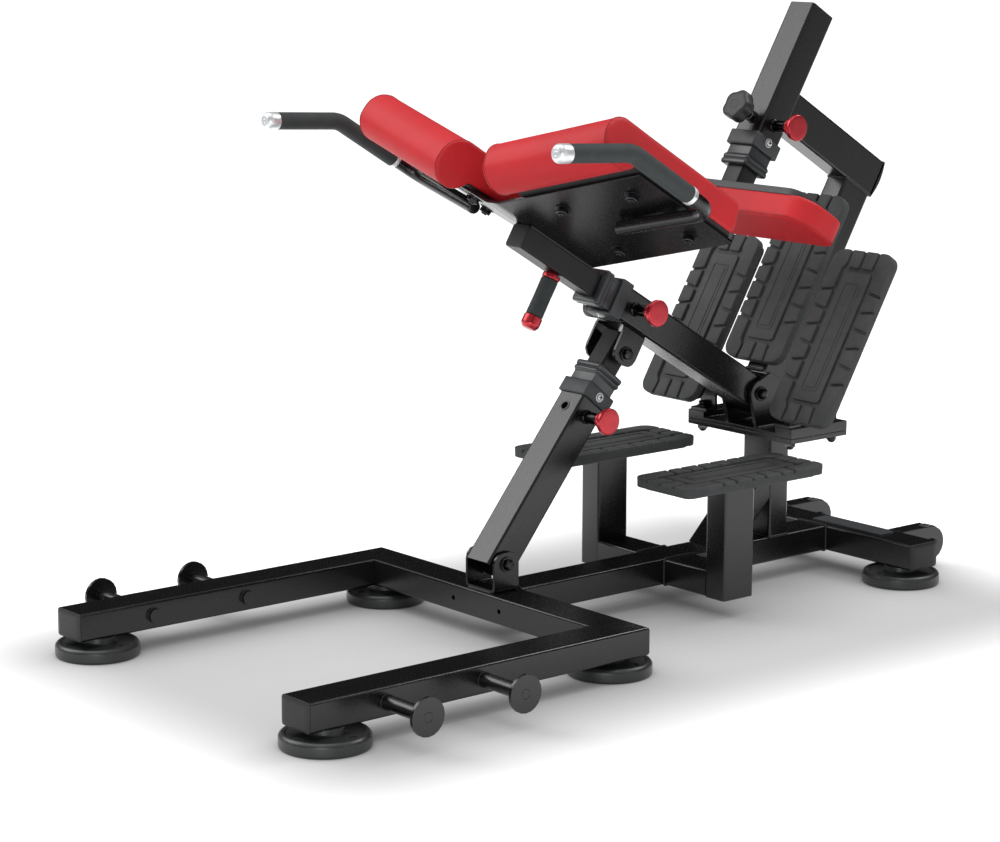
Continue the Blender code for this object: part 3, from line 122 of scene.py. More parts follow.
# Height of a direction, and the world's light there
SKY = ((0.004, 1.0), (0.020, 0.004), (0.42, 0.004), (0.66, 0.46))

# Painted nodes, by the body that they ride on
PAINTED = {
    "bench_frame": (
        "base_arm_near", "base_arm_far", "base_cross_tube", "base_spine", "rear_crossbar",
        "wheel_fork_near", "wheel_fork_far", "step_support_near", "step_support_far", "rear_post",
        "rear_brace", "tower_base", "tower_post", "tower_arm", "leg_post_outer",
        "foot_plate_bracket_near", "foot_plate_bracket_far",
    ),
    "beam": ("beam_outer",),
    "pad_carriage": ("beam_inner", "pad_plate"),
    "strut_lower": ("strut_outer",),
    "strut_upper": ("strut_inner",),
}


def linear(code):
    """Linear colour of an sRGB hex value."""
    parts = [int(code[place:place + 2], 16) / 255 for place in (1, 3, 5)]
    return tuple(part / 12.92 if part <= 0.04045 else ((part + 0.055) / 1.055) ** 2.4 for part in parts)


class BenchSizes(bpy.types.PropertyGroup):
    """Sizes of the finish that a user may change."""

    paint_edge: FloatProperty(
        name="Painted edge", description="Rounding of a painted steel edge",
        default=0.0014, min=0.0002, max=0.003, precision=4, unit="LENGTH")
    weld_width: FloatProperty(
        name="Weld width", description="Width of a weld bead",
        default=0.0050, min=0.002, max=0.010, precision=4, unit="LENGTH")
    weld_ripple: FloatProperty(
        name="Weld ripple", description="Distance from one ripple of a weld bead to the next",
        default=0.0024, min=0.001, max=0.006, precision=4, unit="LENGTH")
    block_height: FloatProperty(
        name="Tread blocks", description="Height of the moulded blocks above a tread's slab",
        default=0.0062, min=0.001, max=0.007, precision=4, unit="LENGTH")
    groove: FloatProperty(
        name="Tread groove", description="Width of a groove between two tread blocks",
        default=0.0056, min=0.001, max=0.008, precision=4, unit="LENGTH")
    pad_voxel: FloatProperty(
        name="Pad mesh size", description="Voxel size of the pads' covers before they are inflated",
        default=0.0045, min=0.004, max=0.006, precision=4, unit="LENGTH")
    pad_swell: FloatProperty(
        name="Pad swell", description="Furthest that a point of a pad's cover may rise",
        default=0.0018, min=0.0005, max=0.010, precision=4, unit="LENGTH")
    welt: FloatProperty(
        name="Welt", description="Thickness of the sewn welt round a pad",
        default=0.0019, min=0.001, max=0.006, precision=4, unit="LENGTH")
    knob_lobes: IntProperty(name="Knob lobes", description="Lobes of a tension knob", default=5, min=3, max=9)


class BenchColours(bpy.types.PropertyGroup):
    """Colours that a user may change."""

    paint: FloatVectorProperty(
        name="Frame paint", description="Powder coat of the steel frame", subtype="COLOR",
        size=3, min=0, max=1, default=linear("#101011"))
    vinyl: FloatVectorProperty(
        name="Vinyl", description="Cover of the pads", subtype="COLOR",
        size=3, min=0, max=1, default=linear("#cf1a23"))
    anodised: FloatVectorProperty(
        name="Anodised red", description="Pull knobs and the adjusting handle", subtype="COLOR",
        size=3, min=0, max=1, default=linear("#bd2a35"))
    rubber: FloatVectorProperty(
        name="Rubber", description="Treads and feet", subtype="COLOR",
        size=3, min=0, max=1, default=linear("#3f4142"))
    plastic: FloatVectorProperty(
        name="Collar plastic", description="Moulded collars", subtype="COLOR",
        size=3, min=0, max=1, default=linear("#393d3f"))


def add(tree, kind, inputs=None, **settings):
    """Add a node, set what it is given, and link it where a socket is given."""
    made = tree.nodes.new(kind)
    for name, value in settings.items():
        setattr(made, name, value)
    for socket, value in (inputs or {}).items():
        if isinstance(value, bpy.types.NodeSocket):
            tree.links.new(value, made.inputs[socket])
        else:
            made.inputs[socket].default_value = value
    return made


def shade(base, light):
    """A colour made lighter or darker, with its alpha."""
    return (*(min(1.0, part * light) for part in base), 1.0)


def new_material(name):
    """Empty node material with its shader and object coordinates."""
    made = bpy.data.materials.new(name)
    made.use_nodes = True
    tree = made.node_tree
    place = add(tree, "ShaderNodeTexCoord").outputs["Object"]
    return made, tree, tree.nodes["Principled BSDF"], place


def mottled(name, colour, patch, low, high):
    """Node material whose colour changes slightly from patch to patch; patch is in metres."""
    made, tree, shader, place = new_material(name)
    patches = add(tree, "ShaderNodeTexNoise", {"Vector": place, "Scale": 1 / patch, "Detail": 3.0})
    ramp = add(tree, "ShaderNodeValToRGB", {"Fac": patches.outputs["Fac"]})
    for element, position, light in zip(ramp.color_ramp.elements, (0.3, 0.7), (low, high)):
        element.position = position
        element.color = shade(colour, light)
    tree.links.new(ramp.outputs["Color"], shader.inputs["Base Color"])
    return made, tree, shader, place


def surface(tree, shader, pattern, low, high, depth, strength=1.0):
    """Roughness from low to high and a bump of a real depth in metres, both driven by a pattern."""
    spread = add(tree, "ShaderNodeMapRange", {"Value": pattern, "To Min": low, "To Max": high})
    tree.links.new(spread.outputs["Result"], shader.inputs["Roughness"])
    bump = add(tree, "ShaderNodeBump", {"Height": pattern, "Distance": depth, "Strength": strength})
    tree.links.new(bump.outputs["Normal"], shader.inputs["Normal"])


def powder_coated_steel(name):
    """Satin black powder coat: baked polyester over steel, which dries with a faint orange peel."""
    made, tree, shader, place = mottled(name, bpy.context.scene.bench_colours.paint, 0.060, 0.85, 1.25)
    # The peel is about 1 mm across; at 2.5 mm it still shows at this distance
    peel = add(tree, "ShaderNodeTexNoise", {"Vector": place, "Scale": 400.0, "Detail": 2.0})
    surface(tree, shader, peel.outputs["Fac"], 0.20, 0.31, 0.00014)
    shader.inputs["IOR"].default_value = 1.5
    return made


def sliding_tube_paint(name):
    """Smoother, duller black on the tubes that slide in bushes: faint rub marks run along them."""
    made, tree, shader, place = mottled(name, linear("#0d0d0e"), 0.050, 0.85, 1.25)
    stretched = add(tree, "ShaderNodeMapping", {"Vector": place, "Scale": (500.0, 60.0, 60.0)})
    rubs = add(tree, "ShaderNodeTexNoise", {
        "Vector": stretched.outputs["Vector"], "Scale": 1.0, "Detail": 3.0})
    surface(tree, shader, rubs.outputs["Fac"], 0.36, 0.48, 0.00004)
    shader.inputs["IOR"].default_value = 1.4
    return made


def weld_metal(name):
    """Weld bead under the same powder coat, a little glossier where the coat pulls thin."""
    made, tree, shader, place = mottled(name, bpy.context.scene.bench_colours.paint, 0.010, 0.9, 1.4)
    spatter = add(tree, "ShaderNodeTexNoise", {"Vector": place, "Scale": 700.0, "Detail": 3.0})
    surface(tree, shader, spatter.outputs["Fac"], 0.30, 0.42, 0.0002)
    return made


def moulded_rubber(name):
    """Compression-moulded rubber: matt, with a faint cloudy bloom and the mould's fine texture."""
    made, tree, shader, place = mottled(name, bpy.context.scene.bench_colours.rubber, 0.025, 0.88, 1.15)
    # The spark-eroded mould texture is about 0.5 mm; 1.6 mm is what shows
    grit = add(tree, "ShaderNodeTexNoise", {"Vector": place, "Scale": 620.0, "Detail": 4.0})
    surface(tree, shader, grit.outputs["Fac"], 0.62, 0.80, 0.00025)
    shader.inputs["IOR"].default_value = 1.52
    return made


def moulded_plastic(name):
    """Injection-moulded nylon with a fine matt texture and a slight blue cast."""
    made, tree, shader, place = mottled(name, bpy.context.scene.bench_colours.plastic, 0.018, 0.92, 1.1)
    texture = add(tree, "ShaderNodeTexVoronoi", {"Vector": place, "Scale": 900.0})
    surface(tree, shader, texture.outputs["Distance"], 0.44, 0.58, 0.00008)
    shader.inputs["IOR"].default_value = 1.53
    return made


def foot_urethane(name):
    """Cast polyurethane foot: satin, with a soft line of light along its rim."""
    made, tree, shader, place = mottled(name, bpy.context.scene.bench_colours.rubber, 0.030, 0.48, 0.62)
    skin = add(tree, "ShaderNodeTexNoise", {"Vector": place, "Scale": 500.0, "Detail": 3.0})
    surface(tree, shader, skin.outputs["Fac"], 0.32, 0.44, 0.00008)
    shader.inputs["IOR"].default_value = 1.52
    return made


def cap_plastic(name):
    """Polyethylene tube cap: near black, slightly waxy, with a fine mould texture."""
    made, tree, shader, place = mottled(name, linear("#111213"), 0.015, 0.9, 1.2)
    texture = add(tree, "ShaderNodeTexNoise", {"Vector": place, "Scale": 650.0, "Detail": 3.0})
    surface(tree, shader, texture.outputs["Fac"], 0.46, 0.58, 0.00008)
    shader.inputs["IOR"].default_value = 1.45
    return made


def board_sealer_and_painted_shade(name):
    """Edge of a plywood pad board under black sealer: its plies show faintly. The same black also stands as
    painted shade in the screws' cross recesses and the feet's screw holes.
    """
    made, tree, shader, place = mottled(name, linear("#121112"), 0.010, 0.8, 1.3)
    plies = add(tree, "ShaderNodeTexWave", {"Vector": place, "Scale": 260.0, "Distortion": 1.5},
                bands_direction="Z")
    surface(tree, shader, plies.outputs["Fac"], 0.50, 0.70, 0.0001)
    return made


def black_bush_plastic(name):
    """Acetal sliding bush: black, smoother than the collar, with faint wipe marks along it."""
    made, tree, shader, place = mottled(name, linear("#3a3d3f"), 0.012, 0.9, 1.15)
    stretched = add(tree, "ShaderNodeMapping", {"Vector": place, "Scale": (900.0, 120.0, 120.0)})
    wipes = add(tree, "ShaderNodeTexNoise", {"Vector": stretched.outputs["Vector"], "Scale": 1.0})
    surface(tree, shader, wipes.outputs["Fac"], 0.24, 0.36, 0.00006)
    shader.inputs["IOR"].default_value = 1.48
    return made


def vinyl(name):
    """Upholstery vinyl: embossed calf grain in a satin PVC skin, with a broad soft highlight."""
    made, tree, shader, place = mottled(name, bpy.context.scene.bench_colours.vinyl, 0.080, 0.94, 1.05)
    # Real calf grain is 0.8 mm; cells of 1.8 mm are the finest that show
    bent = add(tree, "ShaderNodeTexNoise", {"Vector": place, "Scale": 160.0, "Detail": 1.0})
    shifted = add(tree, "ShaderNodeMixRGB", {"Fac": 0.010, "Color1": place, "Color2": bent.outputs["Color"]})
    cells = add(tree, "ShaderNodeTexVoronoi", {"Vector": shifted.outputs["Color"], "Scale": 560.0},
                feature="DISTANCE_TO_EDGE")
    crease = add(tree, "ShaderNodeMapRange", {"Value": cells.outputs["Distance"], "From Max": 0.25})
    surface(tree, shader, crease.outputs["Result"], 0.66, 0.55, 0.00010, 0.6)
    shader.inputs["IOR"].default_value = 1.53
    shader.inputs["Specular IOR Level"].default_value = 0.46
    return made


def welt_in_painted_shade(name):
    """Welt folded over a cord in the pad's vinyl, painted darker as a line of shade along the seam, with the
    thread's pull showing along it.
    """
    # Painted shade: the welt is 0.50 to 0.80 as light as the pad's vinyl, a dark line along the seam
    made, tree, shader, place = mottled(name, bpy.context.scene.bench_colours.vinyl, 0.015, 0.50, 0.80)
    pull = add(tree, "ShaderNodeTexNoise", {"Vector": place, "Scale": 450.0, "Detail": 2.0})
    surface(tree, shader, pull.outputs["Fac"], 0.36, 0.52, 0.0003)
    return made


def anodised_red(name):
    """Turned aluminium, anodised and dyed red: metal with a thin clear oxide and fine turning lines."""
    made, tree, shader, place = mottled(name, bpy.context.scene.bench_colours.anodised, 0.010, 0.92, 1.08)
    lines = add(tree, "ShaderNodeTexNoise", {"Vector": place, "Scale": 900.0, "Detail": 2.0})
    surface(tree, shader, lines.outputs["Fac"], 0.30, 0.40, 0.00003)
    shader.inputs["Metallic"].default_value = 0.75
    shader.inputs["Coat Weight"].default_value = 0.35
    shader.inputs["Coat Roughness"].default_value = 0.18
    return made


def chrome_with_painted_reflection(name):
    """Chrome plate on turned steel, with faint polishing haze; nearly half of its near-white colour is
    diffuse, a painted reflection of bright surroundings.
    """
    made, tree, shader, place = mottled(name, linear("#eceff1"), 0.008, 0.95, 1.02)
    haze = add(tree, "ShaderNodeTexNoise", {"Vector": place, "Scale": 300.0, "Detail": 3.0})
    surface(tree, shader, haze.outputs["Fac"], 0.31, 0.40, 0.00002)
    # Only 0.55 metallic: the rest of its near-white colour is diffuse and lit by the lamps, a painted
    # reflection of the bright surroundings that real chrome mirrors
    shader.inputs["Metallic"].default_value = 0.55
    return made


def black_chrome(name):
    """Black-chrome plate on the plungers' barrels: dark, glossy metal."""
    made, tree, shader, place = mottled(name, linear("#2a2a2c"), 0.008, 0.85, 1.25)
    haze = add(tree, "ShaderNodeTexNoise", {"Vector": place, "Scale": 400.0, "Detail": 3.0})
    surface(tree, shader, haze.outputs["Fac"], 0.16, 0.26, 0.00002)
    shader.inputs["Metallic"].default_value = 1.0
    return made


def black_oxide_steel(name):
    """Screws and nuts in black oxide: dark steel, matt, brighter where the wrench has rubbed."""
    made, tree, shader, place = mottled(name, linear("#3a3b3d"), 0.006, 0.75, 1.35)
    rub = add(tree, "ShaderNodeTexNoise", {"Vector": place, "Scale": 800.0, "Detail": 4.0})
    surface(tree, shader, rub.outputs["Fac"], 0.22, 0.36, 0.00005)
    shader.inputs["Metallic"].default_value = 1.0
    return made


def grip_foam(name):
    """Moulded nitrile grip: matt, very fine closed-cell pores."""
    made, tree, shader, place = mottled(name, linear("#34393a"), 0.020, 0.88, 1.15)
    pores = add(tree, "ShaderNodeTexVoronoi", {"Vector": place, "Scale": 700.0})
    surface(tree, shader, pores.outputs["Distance"], 0.78, 0.66, 0.00018)
    return made


def knob_phenolic(name):
    """Moulded phenolic knob: dark, faintly speckled, with a soft polish on its lobes."""
    made, tree, shader, place = mottled(name, linear("#232527"), 0.004, 0.85, 1.2)
    speckle = add(tree, "ShaderNodeTexNoise", {"Vector": place, "Scale": 1100.0, "Detail": 2.0})
    surface(tree, shader, speckle.outputs["Fac"], 0.40, 0.54, 0.00006)
    return made


def floor_vinyl(name):
    """Pale studio floor: white away from the bench; under and round it its colour is painted grey, a painted
    shadow, and its glow is dimmed by ambient occlusion, a painted contact shade.

    Far off it is a dimmer floor lit up white, so that upright paint doesn't mirror a bright horizon.
    """
    made, tree, shader, place = new_material(name)
    shader.inputs["Roughness"].default_value = 0.9
    shader.inputs["Specular IOR Level"].default_value = 0.1
    middle, half_shadow, shadow_fade = (0.05, -0.05, 0.0), (0.39, 0.73, 0.0), 0.38
    far_start, far_end = 1.5, 4.5
    centred = add(tree, "ShaderNodeVectorMath", {0: place, 1: middle}, operation="SUBTRACT")
    folded = add(tree, "ShaderNodeVectorMath", {0: centred.outputs[0]}, operation="ABSOLUTE")
    beyond = add(tree, "ShaderNodeVectorMath", {0: folded.outputs[0], 1: half_shadow}, operation="SUBTRACT")
    beyond = add(tree, "ShaderNodeVectorMath", {0: beyond.outputs[0], 1: (0.0, 0.0, 0.0)},
                 operation="MAXIMUM")
    away = add(tree, "ShaderNodeVectorMath", {0: beyond.outputs[0]}, operation="LENGTH").outputs["Value"]
    # Painted shadow: the floor's colour falls from 0.90 to 0.20 towards and under the bench's footprint
    near = add(tree, "ShaderNodeMapRange", {
        "Value": away, "From Min": 0.0, "From Max": shadow_fade, "To Min": 0.20, "To Max": 0.90},
        interpolation_type="SMOOTHSTEP")
    dim = add(tree, "ShaderNodeMapRange", {
        "Value": away, "From Min": far_start, "From Max": far_end, "To Min": 1.0, "To Max": 0.4})
    floor_colour_with_painted_shadow = add(tree, "ShaderNodeMath", {0: near.outputs[0], 1: dim.outputs[0]}, operation="MULTIPLY")
    tree.links.new(floor_colour_with_painted_shadow.outputs[0], shader.inputs["Base Color"])
    rise = add(tree, "ShaderNodeMapRange", {
        "Value": away, "From Min": 0.0, "From Max": shadow_fade, "To Min": 0.45, "To Max": 0.44},
        interpolation_type="SMOOTHSTEP")
    # Painted contact shade: the floor's glow is dimmed by ambient occlusion where the bench stands over it or
    # close by
    closed = add(tree, "ShaderNodeAmbientOcclusion", {"Distance": 0.30}, samples=16)
    open_sky = add(tree, "ShaderNodeMath", {0: closed.outputs["AO"], 1: 1.1}, operation="POWER")
    glow_with_painted_shade = add(tree, "ShaderNodeMath", {0: rise.outputs["Result"], 1: open_sky.outputs[0]},
               operation="MULTIPLY")
    rays = add(tree, "ShaderNodeLightPath")
    direct = add(tree, "ShaderNodeMath", {
        0: rays.outputs["Is Camera Ray"], 1: rays.outputs["Is Transmission Ray"]}, operation="MAXIMUM")
    white = add(tree, "ShaderNodeMapRange", {
        "Value": away, "From Min": far_start, "From Max": far_end, "To Min": 0.0, "To Max": 0.48})
    plain = add(tree, "ShaderNodeMath", {0: glow_with_painted_shade.outputs[0], 1: white.outputs[0]}, operation="ADD")
    shown = add(tree, "ShaderNodeMath", {0: plain.outputs[0], 1: direct.outputs[0]}, operation="MULTIPLY")
    # The floor glows in reflections too, dimmed by the same ambient occlusion: painted shade in what the
    # paint mirrors
    mirrored = add(tree, "ShaderNodeMath", {0: open_sky.outputs[0], 1: dim.outputs[0]}, operation="MULTIPLY")
    glossy = add(tree, "ShaderNodeMath", {0: rays.outputs["Is Glossy Ray"], 1: 0.72}, operation="MULTIPLY")
    lift = add(tree, "ShaderNodeMath", {0: mirrored.outputs[0], 1: glossy.outputs[0], 2: shown.outputs[0]},
               operation="MULTIPLY_ADD")
    tree.links.new(lift.outputs[0], shader.inputs["Emission Strength"])
    shader.inputs["Emission Color"].default_value = (1.0, 1.0, 1.0, 1.0)
    return made


FINISHES = {make.__name__: make for make in (
    powder_coated_steel, sliding_tube_paint, weld_metal, moulded_rubber, moulded_plastic, foot_urethane,
    cap_plastic, board_sealer_and_painted_shade, black_bush_plastic, vinyl, welt_in_painted_shade, anodised_red, chrome_with_painted_reflection,
    black_chrome, black_oxide_steel, grip_foam, knob_phenolic, floor_vinyl,
)}


def finish(name):
    """The finish of that name, made when it is first asked for."""
    return bpy.data.materials.get(name) or FINISHES[name](name)


def eased(points, radius, closed=False, steps=3):
    """Round each corner of a flat outline or profile, by up to radius."""
    points = [Vector(point) for point in points]
    count = len(points)
    made = []
    for index, corner in enumerate(points):
        if not closed and index in (0, count - 1):
            made.append(corner)
            continue
        before = points[index - 1] - corner
        after = points[(index + 1) % count] - corner
        cut = min(radius, before.length * 0.48, after.length * 0.48)
        start = corner + before.normalized() * cut
        stop = corner + after.normalized() * cut
        for step in range(steps + 1):
            share = step / steps
            made.append(start * (1 - share) ** 2 + corner * 2 * share * (1 - share) + stop * share ** 2)
    return made


def arc(centre, radius, start, stop, steps):
    """Points of an arc; start and stop in degrees."""
    made = []
    for step in range(steps + 1):
        angle = math.radians(start + (stop - start) * step / steps)
        made.append(Vector((centre[0] + radius * math.cos(angle), centre[1] + radius * math.sin(angle))))
    return made


def circle(radius, count):
    """Corners of a regular outline, anticlockwise from +X."""
    turns = [2 * math.pi * step / count for step in range(count)]
    return [Vector((radius * math.cos(turn), radius * math.sin(turn))) for turn in turns]


def rounded_rect(width, height, radius, steps=5):
    """Rectangle about the origin with round corners."""
    x, y = width / 2 - radius, height / 2 - radius
    made = []
    for start, corner in enumerate(((x, y), (-x, y), (-x, -y), (x, -y))):
        made += arc(corner, radius, 90 * start, 90 * start + 90, steps)
    return made


def square(side, radius, steps=4):
    """Section of a square tube, or of a collar or bush on one."""
    return rounded_rect(side, side, radius, steps)


def inset(outline, depth):
    """Outline moved inwards by depth; it runs anticlockwise."""
    made = []
    count = len(outline)
    for index, here in enumerate(outline):
        into = (here - outline[index - 1]).normalized()
        out = (outline[(index + 1) % count] - here).normalized()
        first = Vector((-into.y, into.x))
        mean = (first + Vector((-out.y, out.x))).normalized()
        made.append(here + mean * depth / max(0.5, mean.dot(first)))
    return made


def soft_edges(low, high, radius, steps=3):
    """Layers of a slab from low to high with rounded edges, for stack()."""
    profile = ((radius, low), (0, low), (0, high), (radius, high))
    return [tuple(p) for p in eased(profile, radius, steps=steps)]


def raised(profile, height):
    """Profile or layers moved up by height."""
    return [(across, height + up) for across, up in profile]


def stack(work, outline, layers, place, hole=None, scaled=False):
    """Slab made of an outline at several (inset, height) layers, with an optional straight hole.

    Scaled layers shrink towards the middle instead, which suits insets deeper than the corners are round.
    """
    rings = []
    reach = max(p.length for p in outline)
    for depth, height in layers:
        if scaled:
            ring = [p * (1 - depth / reach) for p in outline]
        else:
            ring = inset(outline, depth) if depth else outline
        rings.append([work.verts.new(place @ Vector((p.x, p.y, height))) for p in ring])
    for low, high in zip(rings, rings[1:]):
        bridge(work, low, high)
    if not hole:
        work.faces.new(rings[0])
        work.faces.new(rings[-1])
        return
    ends = [[work.verts.new(place @ Vector((p.x, p.y, layers[end][1]))) for p in hole] for end in (0, -1)]
    bridge(work, ends[0], rings[0])
    bridge(work, rings[-1], ends[1])
    bridge(work, ends[1], ends[0])


def bridge(work, low, high):
    """Faces between two rings; a ring of one point is a pole."""
    count = max(len(low), len(high))
    for index in range(count):
        after = (index + 1) % count
        corners = [low[place % len(low)] for place in (index, after)]
        corners += [high[place % len(high)] for place in (after, index)]
        face = list(dict.fromkeys(corners))
        if len(face) > 2:
            work.faces.new(face)


def lathe(work, profile, place, segments=40):
    """Turn (radius, height) points round place's Z; a radius of 0 is a pole."""
    rings = []
    for radius, height in profile:
        outline = circle(radius, segments) if radius > 1e-7 else [Vector((0.0, 0.0))]
        rings.append([work.verts.new(place @ Vector((p.x, p.y, height))) for p in outline])
    for low, high in zip(rings, rings[1:]):
        bridge(work, low, high)


def turned(work, profile, place, radius=0.0008, segments=40):
    """Lathe a profile whose corners are first eased."""
    lathe(work, [tuple(p) for p in eased(profile, radius)], place, segments)


def along(place, way):
    """Frame at place whose +Z points along way."""
    return Matrix.Translation(place) @ Vector(way).to_track_quat("Z", "Y").to_matrix().to_4x4()


def facing(place, way, up):
    """Frame at place whose +Z points along way and whose +Y points along up."""
    ahead, rise = Vector(way).normalized(), Vector(up).normalized()
    return Matrix.Translation(place) @ Matrix((rise.cross(ahead), rise, ahead)).transposed().to_4x4()


def bent(corners, radii, steps=10):
    """Path through the corners with rounded bends."""
    made = [Vector(corners[0])]
    for before, corner, after, radius in zip(corners, corners[1:], corners[2:], radii):
        first = (Vector(before) - corner).normalized()
        last = (Vector(after) - corner).normalized()
        half = first.angle(last) / 2
        middle = corner + (first + last).normalized() * radius / math.sin(half)
        start = (corner + first * radius / math.tan(half) - middle).normalized()
        stop = (corner + last * radius / math.tan(half) - middle).normalized()
        made += [middle + start.slerp(stop, step / steps) * radius for step in range(steps + 1)]
    return made + [Vector(corners[-1])]


def tube_on(work, path, radii, segments=28):
    """Round tube along a path, with closed ends; radii is one radius, or a list of one for each point."""
    radii = radii if isinstance(radii, list) else [radii] * len(path)
    side = None
    rings = []
    for index, here in enumerate(path):
        ahead = (path[min(index + 1, len(path) - 1)] - path[max(index - 1, 0)]).normalized()
        side = ahead.orthogonal() if side is None else side - ahead * side.dot(ahead)
        side.normalize()
        other = ahead.cross(side)
        ring = []
        for step in range(segments):
            angle = 2 * math.pi * step / segments
            out = side * math.cos(angle) + other * math.sin(angle)
            ring.append(work.verts.new(here + out * radii[index]))
        rings.append(ring)
    for low, high in zip(rings, rings[1:]):
        bridge(work, low, high)
    work.faces.new(rings[0])
    work.faces.new(rings[-1])


def loose_mesh(work, name):
    """Mesh of a finished shape, with its faces outwards."""
    bmesh.ops.recalc_face_normals(work, faces=work.faces)
    mesh = bpy.data.meshes.new(name)
    work.to_mesh(mesh)
    work.free()
    return mesh


def linked(name, data):
    """Object of a mesh, a lamp or the camera, in the scene."""
    made = bpy.data.objects.new(name, data)
    bpy.context.scene.collection.objects.link(made)
    return made


def settle(work, name, body, material, nodes=(), sharp=38):
    """Finish a piece that was shaped in work; settle_mesh() says how."""
    return settle_mesh(loose_mesh(work, name), name, body, material, nodes, sharp)


def settle_mesh(mesh, name, body, material, nodes=(), sharp=38):
    """Give a piece its smooth shading, material and body, and hide the CAD nodes that it stands for."""
    mesh.shade_smooth()
    if sharp:
        mesh.set_sharp_from_angle(angle=math.radians(sharp))
    mesh.materials.clear()
    mesh.materials.append(finish(material))
    piece = linked(name, mesh)
    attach(piece, body)
    if nodes:
        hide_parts(*nodes)
    return piece


def plain_mesh(piece):
    """Mesh of an object with its modifiers applied."""
    bpy.context.view_layer.update()
    return bpy.data.meshes.new_from_object(piece.evaluated_get(bpy.context.evaluated_depsgraph_get()))


def merged_copy(node):
    """Mesh of a CAD node with its loose triangles merged into flat faces."""
    work = bmesh.new()
    work.from_mesh(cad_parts[node].data)
    bmesh.ops.remove_doubles(work, verts=work.verts, dist=0.00002)
    bmesh.ops.dissolve_limit(work, angle_limit=math.radians(0.6), verts=work.verts, edges=work.edges)
    return work


def paint_piece(piece, edge):
    """Round a painted piece's edges and keep its flats flat."""
    bevel = piece.modifiers.new("Edges", "BEVEL")
    bevel.limit_method = "ANGLE"
    bevel.angle_limit = math.radians(50)
    bevel.width = edge
    bevel.segments = 2
    bevel.harden_normals = False
    bevel.use_clamp_overlap = True
    weigh = piece.modifiers.new("Flats", "WEIGHTED_NORMAL")
    weigh.keep_sharp = False
    weigh.weight = 100


def socket_id(tree, name):
    """Identifier of a tree's input, by the name that it shows."""
    for item in tree.interface.items_tree:
        if item.in_out == "INPUT" and item.name == name:
            return item.identifier
    raise RuntimeError(f"no input {name}")


def node_group(name, sockets):
    """Empty Geometry Nodes tree with named inputs, and its in and out nodes."""
    tree = bpy.data.node_groups.new(name, "GeometryNodeTree")
    tree.interface.new_socket("Geometry", in_out="INPUT", socket_type="NodeSocketGeometry")
    for label, kind, value in sockets:
        item = tree.interface.new_socket(label, in_out="INPUT", socket_type=kind)
        if value is not None:
            item.default_value = value
    tree.interface.new_socket("Geometry", in_out="OUTPUT", socket_type="NodeSocketGeometry")
    return tree, add(tree, "NodeGroupInput"), add(tree, "NodeGroupOutput")


def close_tree(tree, out, geometry, material):
    """End a tree with real geometry that carries its material."""
    real = add(tree, "GeometryNodeRealizeInstances", {"Geometry": geometry})
    smooth = add(tree, "GeometryNodeSetShadeSmooth", {"Geometry": real.outputs[0]})
    dressed = add(tree, "GeometryNodeSetMaterial", {"Geometry": smooth.outputs[0], "Material": material})
    tree.links.new(dressed.outputs[0], out.inputs[0])


def bead_tree():
    """A bead along edges: round, with ripples a set distance apart and a slightly uneven width."""
    found = bpy.data.node_groups.get("Bead along edges")
    if found:
        return found
    tree, source, out = node_group("Bead along edges", (
        ("Width", "NodeSocketFloat", 0.005),
        ("Ripple pitch", "NodeSocketFloat", 0.0024),
        ("Ripple depth", "NodeSocketFloat", 0.12),
        ("Sides", "NodeSocketInt", 8),
        ("Seed", "NodeSocketFloat", 7.0),
        ("Material", "NodeSocketMaterial", None),
    ))
    line = add(tree, "GeometryNodeMeshToCurve", {"Mesh": source.outputs["Geometry"]})
    step = add(tree, "ShaderNodeMath", {0: source.outputs["Ripple pitch"], 1: 0.34}, operation="MULTIPLY")
    even = add(tree, "GeometryNodeResampleCurve", {"Curve": line.outputs[0], "Length": step.outputs[0]},
               mode="LENGTH")
    run = add(tree, "GeometryNodeSplineParameter")
    turns = add(tree, "ShaderNodeMath", {0: run.outputs["Length"], 1: source.outputs["Ripple pitch"]},
                operation="DIVIDE")
    angle = add(tree, "ShaderNodeMath", {0: turns.outputs[0], 1: 2 * math.pi}, operation="MULTIPLY")
    wave = add(tree, "ShaderNodeMath", {0: angle.outputs[0]}, operation="SINE")
    noise = add(tree, "ShaderNodeTexNoise", {"Scale": 90.0, "W": source.outputs["Seed"]},
                noise_dimensions="4D")
    mixed = add(tree, "ShaderNodeMath", {0: wave.outputs[0], 1: noise.outputs["Fac"]}, operation="ADD")
    radius = add(tree, "ShaderNodeMath", {0: mixed.outputs[0], 1: source.outputs["Ripple depth"], 2: 1.0},
                 operation="MULTIPLY_ADD")
    half = add(tree, "ShaderNodeMath", {0: source.outputs["Width"], 1: 0.5}, operation="MULTIPLY")
    ring = add(tree, "GeometryNodeCurvePrimitiveCircle",
               {"Resolution": source.outputs["Sides"], "Radius": half.outputs[0]})
    bead = add(tree, "GeometryNodeCurveToMesh", {"Curve": even.outputs[0], "Profile Curve": ring.outputs[0],
                                                 "Fill Caps": True})
    if "Scale" in bead.inputs:
        tree.links.new(radius.outputs[0], bead.inputs["Scale"])
    close_tree(tree, out, bead.outputs[0], source.outputs["Material"])
    return tree


def grown(name, mesh, tree, inputs):
    """Plain mesh that a Geometry Nodes tree makes of a mesh, with some of its inputs set."""
    source = linked(name, mesh)
    nodes = source.modifiers.new("Grown", "NODES")
    nodes.node_group = tree
    for label, value in inputs.items():
        nodes[socket_id(tree, label)] = value
    made = plain_mesh(source)
    bpy.data.objects.remove(source)
    return made


